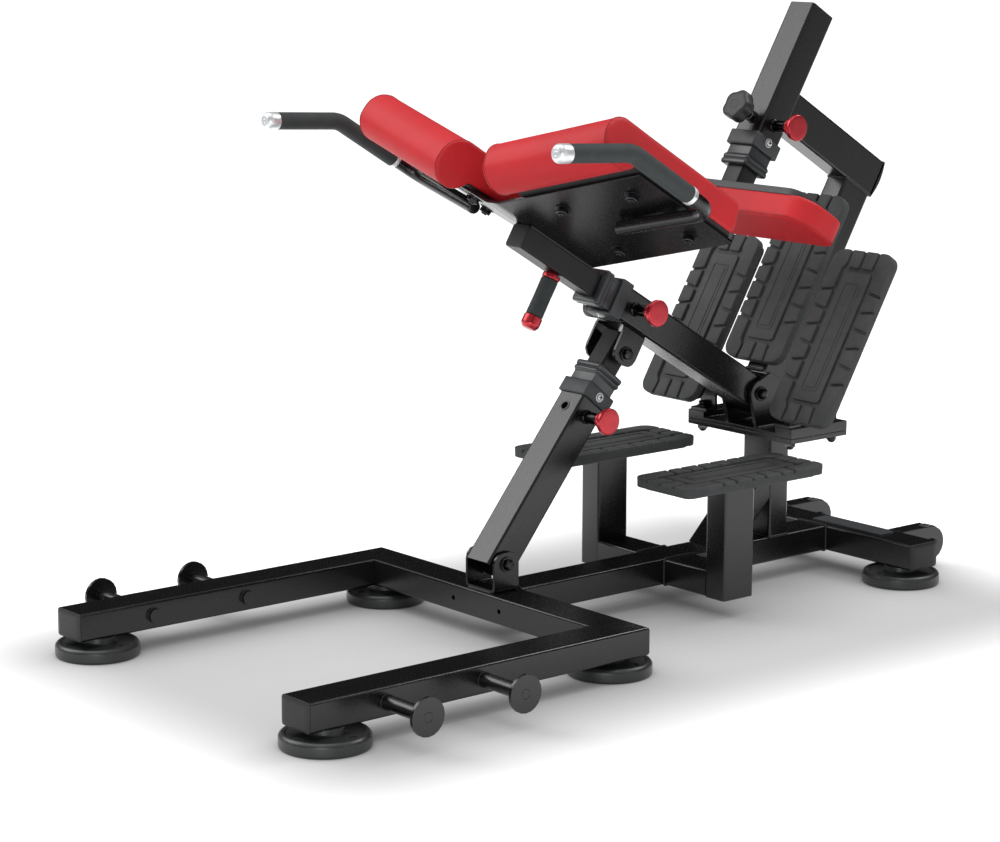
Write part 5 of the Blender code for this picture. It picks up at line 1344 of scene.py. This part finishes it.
class BENCH_OT_handles(bpy.types.Operator):
    """Side handles: painted bars, foam grips, chrome rings and chrome end caps."""

    bl_idname = "bench.handles"
    bl_label = "Side handles"

    def execute(self, context):
        for side, word in SIDES:
            inner, corner, bend, end = self.corners(side)
            level = (end - bend).normalized()
            in_cap, corner_bend, grip_from = 0.010, 0.040, 0.7010
            path = bent((inner, corner, bend, end - level * in_cap), (corner_bend, HANDLE_BEND))
            self.bar(side, word, [BEAM @ p for p in path])
            grip_start = Vector((side * HANDLE_X, -grip_from, HANDLE_RAISE))
            grip_end = end - level * (HANDLE_CAP_L + GAP)
            line = [BEAM @ p for p in bent((grip_start, bend, grip_end), (HANDLE_BEND,), 14)]
            work = bmesh.new()
            self.sleeve(work, line)
            settle(work, f"handle_{word}_foam", "pad_carriage", "grip_foam",
                   (f"handle_grip_{word}",), 50)
            self.chrome(side, word, line, BEAM @ along(end, -level))
        return {"FINISHED"}

    def corners(self, side):
        """Corners of a side handle in the beam's frame, from its inner end to its free end."""
        inner_x = V_FLAT_HALF + HANDLE_INNER * math.cos(V_ANGLE) + HANDLE_DROP * math.sin(V_ANGLE)
        inner_z = PLATE_UNDER + HANDLE_INNER * math.sin(V_ANGLE) - HANDLE_DROP * math.cos(V_ANGLE)
        inner = Vector((side * inner_x, -HANDLE_AT, inner_z))
        corner = Vector((side * HANDLE_X, -HANDLE_AT, HANDLE_RAISE))
        bend = Vector((side * HANDLE_X, -HANDLE_BEND_AT, HANDLE_RAISE))
        fall = TILT - HANDLE_LIFT
        return inner, corner, bend, bend + Vector((0.0, -math.cos(fall), -math.sin(fall))) * HANDLE_LEVEL

    def bar(self, side, word, path):
        """Bent bar with a plug in its inner end, and the two lugs that carry it under the plate."""
        bar_radius, lug_reaches = 0.0127, (0.2070, 0.2970)
        work = bmesh.new()
        tube_on(work, path, bar_radius)
        plug = ((0, -0.0050), (0.0100, -0.0050), (0.0121, -0.0035), (0.0121, 0.0050), (0, 0.0050))
        turned(work, plug, along(path[0], (path[1] - path[0]).normalized()), 0.0015)
        for reach in lug_reaches:
            lug = wing(side) @ Matrix.Translation((reach, HANDLE_AT, -HANDLE_DROP / 2))
            stack(work, rounded_rect(0.024, 0.012, 0.002, 3), soft_edges(-0.0075, 0.0072, 0.0006), lug)
        settle(work, f"handle_{word}_painted", "pad_carriage", "powder_coated_steel",
               (f"handle_bar_{word}",), 45)

    def sleeve(self, work, line):
        """Foam sleeve with eased ends, thinning slightly to them."""
        first, last = line[0], line[-1]
        ahead = (line[1] - first).normalized()
        back = (line[-2] - last).normalized()
        path = [first, first + ahead * 0.0008, first + ahead * 0.0025] + line[1:-1]
        path += [last + back * 0.0025, last + back * 0.0008, last]
        thin, thinner, full = 0.0157, 0.0146, 0.0160
        tube_on(work, path, [thinner, thin] + [full] * len(line) + [thin, thinner], 40)

    def chrome(self, side, word, line, cap):
        """Ring at the grip's inner end with its set screw, and the cap on the free end."""
        inner, outer, length = 0.0128, 0.0163, 0.0084
        ahead = (line[1] - line[0]).normalized()
        ring = along(line[0] - ahead * (length + 0.0002), ahead)
        work = bmesh.new()
        turned(work, ((inner, 0), (outer, 0), (outer, length), (inner, length)), ring, 0.0010, 48)
        dimple = [(0, 0.0040), (0.0022, 0.0038), (0.0026, 0.0007), (0.0034, 0.0003)]
        dome = [tuple(p) for p in arc((0.0070, 0.0094), 0.0094, 270, 360, 10)]
        rim = [(0.0165, HANDLE_CAP_L - 0.0012), (0.0160, HANDLE_CAP_L - 0.0002), (inner, HANDLE_CAP_L)]
        lathe(work, dimple + dome + rim, cap, 56)
        settle(work, f"handle_{word}_chrome", "pad_carriage", "chrome_with_painted_reflection", (), 45)
        out = BEAM.to_3x3() @ Vector((side, 0, 0.0))
        spot = ring @ Vector((0, 0, length / 2)) + out * outer
        fasteners(f"handle_{word}_set_screw", set_screw(), [(spot, out)], "pad_carriage")


class BENCH_OT_adjust_handle(bpy.types.Operator):
    """Adjusting handle under the beam: red collar and cap, black grip."""

    bl_idname = "bench.adjust_handle"
    bl_label = "Adjusting handle"

    def execute(self, context):
        place = BEAM @ Matrix.Translation((0, -ADJUST_AT, 0))
        top = -INNER_SQ / 2 - GAP
        red = ((0, 0), (0.0120, 0), (0.0120, -0.0020), (0.0165, -0.0026), (0.0165, -0.0118),
               (0.0105, -0.0118), (0.0100, -0.0200), (0.0100, -0.0800), (0.0105, -0.0862), (0.0166, -0.0864),
               (0.0174, -0.0875), (0.0174, -0.1030), (0.0125, -0.1100), (0.0060, -0.1108), (0, -0.1109))
        work = bmesh.new()
        turned(work, raised(red, top), place, 0.0016, 56)
        settle(work, "adjust_handle_turned", "pad_carriage", "anodised_red", ("adjust_handle",))
        grip = ((0.0104, -0.0123), (0.0150, -0.0123), (0.0160, -0.0145), (0.0156, -0.0480), (0.0160, -0.0835),
                (0.0152, -0.0858), (0.0104, -0.0858))
        work = bmesh.new()
        turned(work, raised(grip, top), place, 0.0016, 48)
        settle(work, "adjust_grip_moulded", "pad_carriage", "grip_foam", ("adjust_grip",))
        spot = BEAM @ Vector((0.0165, -ADJUST_AT, top - 0.0070))
        fasteners("adjust_set_screw", set_screw(), [(spot, NEAR)], "pad_carriage")
        return {"FINISHED"}


class BENCH_OT_collars(bpy.types.Operator):
    """Moulded collars on the outer tubes' mouths, the stepped bushes below them and their screws."""

    bl_idname = "bench.collars"
    bl_label = "Collars and bushes"

    def execute(self, context):
        beam_mouth = BEAM @ along((0, -BEAM_MOUTH, 0), OPEN_END)
        strut_mouth = STRUT @ along((0, 0, STRUT_MOUTH), UP)
        leg_mouth = BEAM @ along((0, -LEG_AT, LEG_MOUTH), (0, 0, -1))
        under_beam = BEAM.to_3x3() @ Vector((0, 0, -1))
        # Name, body, place, side of the screw and how far behind the mouth it sits
        mouths = (
            ("beam", "beam", beam_mouth, under_beam, 0.0120),
            ("strut", "strut_lower", strut_mouth, Vector(NEAR), 0.0120),
            ("leg", "bench_frame", leg_mouth, Vector(NEAR), 0.0190),
        )
        collar = ((0.0016, -0.0270), (0.0004, -0.0262), (0.0, -0.0250), (0.0, -0.0010), (0.0006, 0.0012),
                  (0.0016, 0.0020))
        bush = ((0.0047, GAP), (0.0047, 0.0205), (0.0008, 0.0245), (0.0004, 0.0285), (0.0024, 0.0312),
                (0.0002, 0.0345), (0.0, 0.0395), (0.0022, 0.0423), (0.0090, 0.0423))
        bush = [tuple(p) for p in eased(bush, 0.0012, steps=2)]
        for word, body, place, screw_side, back in mouths:
            work = bmesh.new()
            stack(work, square(COLLAR_SQ, 0.0035), collar, place, square(OUTER_SQ + 2 * GAP, 0.0048))
            settle(work, f"{word}_collar_moulded", body, "moulded_plastic",
                   (f"{word}_collar",))
            work = bmesh.new()
            stack(work, square(0.0680, 0.0055), bush, place, square(INNER_SQ + 2 * GAP, INNER_ROUND))
            settle(work, f"{word}_bush_moulded", body, "black_bush_plastic",
                   (f"{word}_bush",))
            way = place.to_3x3().inverted() @ screw_side
            spot = place @ (Vector((0, 0, -back)) + way.normalized() * COLLAR_SQ / 2)
            screw = [(spot, place.to_3x3() @ way)]
            # The screw's cross and flange ring are painted shade, in the board's black
            for part, mesh, look in (("screw", cross_head_screw(), "chrome_with_painted_reflection"),
                                     ("screw_recess", cross_recess_shade(), "board_sealer_and_painted_shade")):
                fasteners(f"{word}_collar_{part}", mesh, screw, body, material=look, scale=1.2)
        return {"FINISHED"}


class BENCH_OT_pull_pins(bpy.types.Operator):
    """Pull pins: red turned knobs, and the guides' black-chrome barrels on the tubes."""

    bl_idname = "bench.pull_pins"
    bl_label = "Pull pins"

    def execute(self, context):
        pins = (
            ("beam", "beam", BEAM @ Vector((0, -BEAM_MOUTH + PIN_BACK, 0))),
            ("strut", "strut_lower", STRUT @ Vector((0, 0, STRUT_MOUTH - PIN_BACK))),
            ("leg", "bench_frame", BEAM @ Vector((0, -LEG_AT, LEG_MOUTH + PIN_BACK))),
        )
        face = OUTER_SQ / 2
        neck = face + BOSS_L + GAP
        plunger = [(0, 0.0235), (0.0045, 0.0235)]
        knob = ((0.0045, 0.0040), (0.0140, 0.0040), (0.0152, 0.0052), (0.0152, 0.0082), (0.0136, 0.0096),
                (0.0150, 0.0122), (0.0215, 0.0180), (0.0242, 0.0200), (0.0250, 0.0222), (0.0250, 0.0278),
                (0.0235, 0.0298), (0.0120, 0.0300), (0, 0.0300))
        sleeve = ((0.0044, 0), (0.0106, 0), (0.0118, 0.0012), (0.0118, 0.0046), (0.0044, 0.0046))
        barrel = ((0.0098, -ROOT), (0.0130, -ROOT), (0.0130, 0.0032), (0.0108, 0.0044), (0.0108, 0.0318),
                  (0.0096, 0.0339), (0.0050, 0.0339))
        for word, body, centre in pins:
            place = along(centre, NEAR)
            work = bmesh.new()
            turned(work, plunger + raised(knob, neck), place, 0.0011, 56)
            settle(work, f"{word}_pull_knob", f"{word}_pin", "anodised_red",
                   (f"{word}_pull_pin",))
            work = bmesh.new()
            turned(work, raised(sleeve, neck), place, 0.0008, 44)
            settle(work, f"{word}_pin_sleeve", f"{word}_pin", "black_chrome")
            work = bmesh.new()
            turned(work, raised(barrel, face), place, 0.0010, 44)
            settle(work, f"{word}_pin_barrel", body, "black_chrome")
        return {"FINISHED"}


class BENCH_OT_tension_knobs(bpy.types.Operator):
    """Lobed tension knobs on dark stems, with their hexagon nuts."""

    bl_idname = "bench.tension_knobs"
    bl_label = "Tension knobs"

    def execute(self, context):
        side = OUTER_SQ / 2
        leg = (0, -LEG_AT - side, LEG_MOUTH + PIN_BACK)
        knobs = (
            ("beam", "beam", BEAM @ along((-side, -BEAM_MOUTH + PIN_BACK, 0), (-1, 0, 0))),
            ("leg", "bench_frame", BEAM @ along(leg, OPEN_END)),
        )
        outline = self.lobed(context.scene.bench_sizes.knob_lobes)
        layers = ((0.0160, 0.0262), (0.0080, 0.0270), (0.0024, 0.0300), (0.0004, 0.0345), (0.0, 0.0400),
                  (0.0, 0.0480), (0.0006, 0.0518), (0.0022, 0.0543), (0.0048, 0.0554), (0.0110, 0.0557))
        cap_ring = ((0.0076, 0.0552), (0.0080, 0.0560), (0.0092, 0.0560), (0.0096, 0.0552))
        stem = ((0, -0.008), (0.0048, -0.008), (0.0048, 0.0150), (0.0080, 0.0170), (0.0088, 0.0250),
                (0.0088, 0.0268), (0, 0.0268))
        washer = ((0.0051, 0.0), (0.0125, 0.0), (0.0125, 0.0018), (0.0051, 0.0018))
        nut = ((0.0005, 0.0018), (0, 0.0026), (0, 0.0098), (0.0014, 0.0112))
        for word, body, place in knobs:
            work = bmesh.new()
            stack(work, outline, layers, place, scaled=True)
            turned(work, cap_ring, place, 0.0002, 44)
            settle(work, f"{word}_star_knob", f"{word}_knob", "knob_phenolic",
                   (f"{word}_tension_knob",), 50)
            work = bmesh.new()
            turned(work, stem, place, 0.0010, 32)
            settle(work, f"{word}_knob_stem", f"{word}_knob", "black_chrome")
            work = bmesh.new()
            turned(work, washer, place, 0.0004, 32)
            stack(work, hexagon(0.0190), nut, place)
            settle(work, f"{word}_knob_nut", body, "black_oxide_steel")
        return {"FINISHED"}

    def lobed(self, lobes):
        """Outline of the knob: full at each lobe, with a rounded dip between two."""
        full, dip, points = 0.0312, 0.0040, lobes * 14
        made = []
        for step in range(points):
            angle = 2 * math.pi * step / points
            radius = full - dip * ((1 - math.cos(lobes * angle)) / 2) ** 1.4
            made.append(Vector((radius * math.cos(angle), radius * math.sin(angle))))
        return made


class BENCH_OT_pivot_bolts(bpy.types.Operator):
    """Through-bolts of the three pivots, with washers, hexagon heads and nuts."""

    bl_idname = "bench.pivot_bolts"
    bl_label = "Pivot bolts"

    def execute(self, context):
        strut_top = BEAM @ Vector((0, -CLEVIS_AT, -OUTER_SQ / 2 - CLEVIS_RISE))
        bolts = (
            ("beam_pivot_bolt", "bench_frame", CHEEK_OUT, BEAM_PIVOT),
            ("strut_lower_bolt", "bench_frame", CLEVIS_HALF_X, STRUT_PIVOT),
            ("strut_upper_bolt", "beam", CLEVIS_HALF_X, strut_top),
        )
        shank, washer_r, washer_t, head = 0.0080, 0.0140, 0.0025, 0.0100
        washer = ((0, 0), (washer_r, 0), (washer_r, washer_t), (0, washer_t))
        hexagonal = ((0.0004, washer_t), (0, 0.0032), (0, head - 0.0012), (0.0016, head))
        thread_end = ((0, -0.0005), (0.0056, -0.0005), (0.0050, 0.0012), (0, 0.0012))
        head_ring = ((0.0040, -0.0004), (0.0044, 0.0004), (0.0056, 0.0004), (0.0060, -0.0004))
        for node, body, half, centre in bolts:
            work = bmesh.new()
            seat = half + GAP
            lathe(work, ((0, -seat), (shank, -seat), (shank, seat), (0, seat)), along(centre, NEAR), 32)
            for way in BOTH:
                end = along(centre, (way, 0, 0))
                turned(work, raised(washer, seat), end, 0.0006, 40)
                stack(work, hexagon(0.0185), raised(hexagonal, seat), end)
                if way < 0:
                    turned(work, raised(thread_end, seat + head), end, 0.0003, 24)
                else:
                    turned(work, raised(head_ring, seat + head), end, 0.0002, 24)
            settle(work, node + "_turned", body, "black_oxide_steel", (node,))
        return {"FINISHED"}


class BENCH_OT_fasteners(bpy.types.Operator):
    """Bolts and nuts of the platform, the pad plate and the wheel axles."""

    bl_idname = "bench.fasteners"
    bl_label = "Fasteners"

    def execute(self, context):
        half_x, half_y, bracket_t = 0.1200, 0.0570, 0.0066
        over, under = [], []
        for x in (half_x, -half_x):
            for y, bracket in ((-half_y, bracket_t), (half_y, 0.0)):
                over.append((Vector((x, PLATFORM_Y + y, BLOCK_TOP + bracket)), UP))
                under.append((Vector((x, PLATFORM_Y + y, PLATFORM_LOW)), (0, 0, -1)))
        platform_nut = (0.0240, 0.0022, 0.0170, 0.0080)
        fasteners("platform_bolts", hex_nut(*platform_nut, 0.0), over, "bench_frame", seed=5)
        fasteners("platform_nuts", hex_nut(*platform_nut, 0.0062, True), under, "bench_frame", seed=8)
        plate_spans, plate_reaches, axle_half = (0.1070, 0.2680), (0.5450, 0.7023), 0.0190
        plate, axles = [], []
        for side in BOTH:
            place = wing(side)
            down = place.to_3x3() @ Vector((0, 0, -1))
            for span in plate_spans:
                for reach in plate_reaches:
                    plate.append((place @ Vector((span, reach, 0.0)), down))
            for way in BOTH:
                axles.append((Vector((side * WHEEL_X + way * axle_half, WHEEL_Y, WHEEL_Z)), (way, 0, 0)))
        fasteners("pad_plate_bolts", hex_nut(0.0290, 0.0022, 0.0190, 0.0090, 0.0026), plate, "pad_carriage",
                  seed=2)
        hole = bmesh.new()
        grommet = ((0.0076, -0.0008), (0.0076, 0.0012), (0.0104, 0.0012), (0.0106, -0.0008))
        turned(hole, grommet, HERE, 0.0004, 36)
        sight = STRUT @ Vector((0, -OUTER_SQ / 2, STRUT_MOUTH - PIN_BACK))
        fasteners("strut_grommet", loose_mesh(hole, "grommet"), [(sight, STRUT.to_3x3() @ Vector(OPEN_END))],
                  "strut_lower", "black_bush_plastic")
        fasteners("axle_nuts", hex_nut(0.0200, 0.0016, 0.0160, 0.0055, 0.0), axles, "bench_frame", seed=4)
        return {"FINISHED"}


class BENCH_OT_welds(bpy.types.Operator):
    """Weld beads where the painted tubes and plates meet."""

    bl_idname = "bench.welds"
    bl_label = "Welds"

    def execute(self, context):
        sizes = context.scene.bench_sizes
        self.lay("frame_welds", self.base() + self.tower(), "bench_frame", sizes)
        mid_z = BASE_Z + TUBE_H / 2
        peg_weld_r, peg_weld_share = PEG_D / 2 + 0.0002, 0.45
        pegs = []
        for side in BOTH:
            for y in (CROSS_REAR_Y - PEG_FRONT, CROSS_REAR_Y - PEG_FRONT + PEG_SPACING):
                for x in (BASE_HALF_WIDTH, BASE_HALF_WIDTH - TUBE_W):
                    pegs.append(self.ring(peg_weld_r, along((side * x, y, mid_z), NEAR)))
        self.lay("peg_welds", pegs, "bench_frame", sizes, peg_weld_share)
        plate_half, half_x = 0.0285, 0.0310
        lower_barrel_r, upper_barrel_r, backing_z = 0.0146, 0.0155, 0.3060
        clevis = []
        for y in (-CLEVIS_AT - plate_half, -CLEVIS_AT + plate_half):
            clevis.append(self.line([BEAM @ Vector((x, y, -OUTER_SQ / 2)) for x in (-half_x, half_x)]))
        self.lay("beam_welds", clevis, "beam", sizes)
        lower, upper = [], []
        for side in BOTH:
            barrel_end = along((side * INNER_SQ / 2, 0, STRUT_LENGTH), NEAR)
            lower.append(self.ring(lower_barrel_r, STRUT @ along((side * OUTER_SQ / 2, 0, 0), NEAR)))
            upper.append(self.ring(upper_barrel_r, STRUT @ barrel_end))
        self.lay("strut_welds", lower, "strut_lower", sizes)
        self.lay("barrel_welds", upper, "strut_upper", sizes)
        backing_top = BEAM @ Matrix.Translation((0, -LEG_AT, backing_z))
        backing = self.loop(square(INNER_SQ, INNER_ROUND, 3), backing_top)
        self.lay("leg_backing_weld", [backing], "leg_carriage", sizes)
        plate = []
        edge, rear, front = INNER_SQ / 2 - 0.0022, 0.5000, 0.6700
        for x in (-edge, edge):
            plate.append(self.line([BEAM @ Vector((x, -y, PLATE_UNDER - 0.0004)) for y in (rear, front)]))
        self.lay("pad_plate_welds", plate, "pad_carriage", sizes)
        return {"FINISHED"}

    def base(self):
        """Beads of the floor frame, the rear post and the step supports."""
        mid_z = BASE_Z + TUBE_H / 2
        flat = rounded_rect(TUBE_W, TUBE_H, TUBE_ROUND, 3)
        places = [facing((0, y, mid_z), OPEN_END, UP) for y in (CROSS_REAR_Y, CROSS_REAR_Y + SPINE_LENGTH)]
        places += [Matrix.Translation((0, PLATFORM_Y, z)) for z in (BASE_Z + TUBE_H, PLATFORM_LOW)]
        step_y = CROSS_REAR_Y + STEP_Y
        post_x, post_top = 0.1746, STEP_TOP - TREAD_T - 0.0053
        quarter = Matrix.Rotation(math.pi / 2, 4, "Z")
        for side in BOTH:
            places.append(facing((side * TUBE_W / 2, step_y, mid_z), NEAR, UP))
            places.append(Matrix.Translation((side * post_x, step_y, post_top)) @ quarter)
        return [self.loop(flat, place) for place in places]

    def tower(self):
        """Beads of the tower, its arm, the strut's lower clevis and the pivot's cheeks."""
        arm = rounded_rect(TUBE_H, TUBE_W, TUBE_ROUND, 3)
        saddle_top = 0.0473
        places = [Matrix.Translation((0, TOWER_POST_MID, z)) for z in (saddle_top, TOWER_ARM_LOW)]
        arm_front = (0, -LEG_AT + OUTER_SQ / 2, TOWER_ARM_LOW + TUBE_W / 2)
        places.append(facing(arm_front, OPEN_END, UP))
        made = [self.loop(arm, BEAM @ place) for place in places]
        clevis_half, clevis_z, clevis_ys = CLEVIS_HALF_X - 0.010, 0.0878, (-0.1954, -0.1384)
        cheek_in, cheek_z, cheek_ys = 0.0345, 0.3120, (0.4600, 0.5630)
        for y in clevis_ys:
            made.append(self.line([(x, y, clevis_z) for x in (-clevis_half, clevis_half)]))
        for side in BOTH:
            for x in (cheek_in, CHEEK_OUT):
                made.append(self.line([(side * x, y, cheek_z) for y in cheek_ys]))
        return made

    def loop(self, outline, place):
        """Closed path of an outline at place."""
        return [place @ Vector((p.x, p.y, 0.0)) for p in outline], True

    def ring(self, radius, place):
        """Round closed path about place's Z."""
        return self.loop(circle(radius, 28), place)

    def line(self, points):
        """Open path."""
        return [Vector(p) for p in points], False

    def lay(self, name, paths, body, sizes, share=1.0):
        """One piece of weld beads, share as wide as the usual one."""
        width = sizes.weld_width * share
        bead(name, paths, body, "frame_paint", "weld_metal", width, sizes.weld_ripple, WELD_DEPTH)


class BENCH_OT_name_plate(bpy.types.Operator):
    """Bare raised plate on the rear crossbar."""

    bl_idname = "bench.name_plate"
    bl_label = "Bare plate"

    def execute(self, context):
        off_centre, length, width, corner = 0.0750, 0.1860, 0.0400, 0.0040
        work = bmesh.new()
        place = Matrix.Translation((off_centre, CROSS_REAR_Y + SPINE_LENGTH + TUBE_W / 2, BASE_Z + TUBE_H))
        stack(work, rounded_rect(length, width, corner, 5), soft_edges(-0.0005, 0.0028, 0.0007), place)
        settle(work, "crossbar_plate", "bench_frame", "moulded_plastic")
        return {"FINISHED"}


class BENCH_PT_looks(bpy.types.Panel):
    """Sizes, colours and pieces of the bench."""

    bl_idname = "BENCH_PT_looks"
    bl_label = "Hyperextension bench"
    bl_space_type = "VIEW_3D"
    bl_region_type = "UI"
    bl_category = "Bench"

    def draw(self, context):
        for group in (context.scene.bench_sizes, context.scene.bench_colours):
            box = self.layout.box()
            for name in group.bl_rna.properties.keys():
                if name not in ("rna_type", "name"):
                    box.prop(group, name)
        for operator in OPERATORS:
            self.layout.operator(operator.bl_idname)


OPERATORS = (
    BENCH_OT_stage, BENCH_OT_painted_steel, BENCH_OT_end_caps, BENCH_OT_feet, BENCH_OT_wheels,
    BENCH_OT_treads, BENCH_OT_hip_pads, BENCH_OT_leg_pad, BENCH_OT_handles, BENCH_OT_adjust_handle,
    BENCH_OT_collars, BENCH_OT_pull_pins, BENCH_OT_tension_knobs, BENCH_OT_pivot_bolts,
    BENCH_OT_fasteners, BENCH_OT_welds, BENCH_OT_name_plate,
)
CLASSES = (BenchSizes, BenchColours, *OPERATORS, BENCH_PT_looks)


def register():
    """Register the classes, and give the scene its sizes and colours."""
    for made in CLASSES:
        bpy.utils.register_class(made)
    bpy.types.Scene.bench_sizes = PointerProperty(type=BenchSizes)
    bpy.types.Scene.bench_colours = PointerProperty(type=BenchColours)


def unregister():
    """Take back what register() set up."""
    del bpy.types.Scene.bench_colours
    del bpy.types.Scene.bench_sizes
    for made in reversed(CLASSES):
        bpy.utils.unregister_class(made)


def main():
    """Make the whole bench."""
    register()
    for operator in OPERATORS:
        group, name = operator.bl_idname.split(".")
        getattr(getattr(bpy.ops, group), name)()
    bpy.context.view_layer.update()


if __name__ == "__main__":
    main()
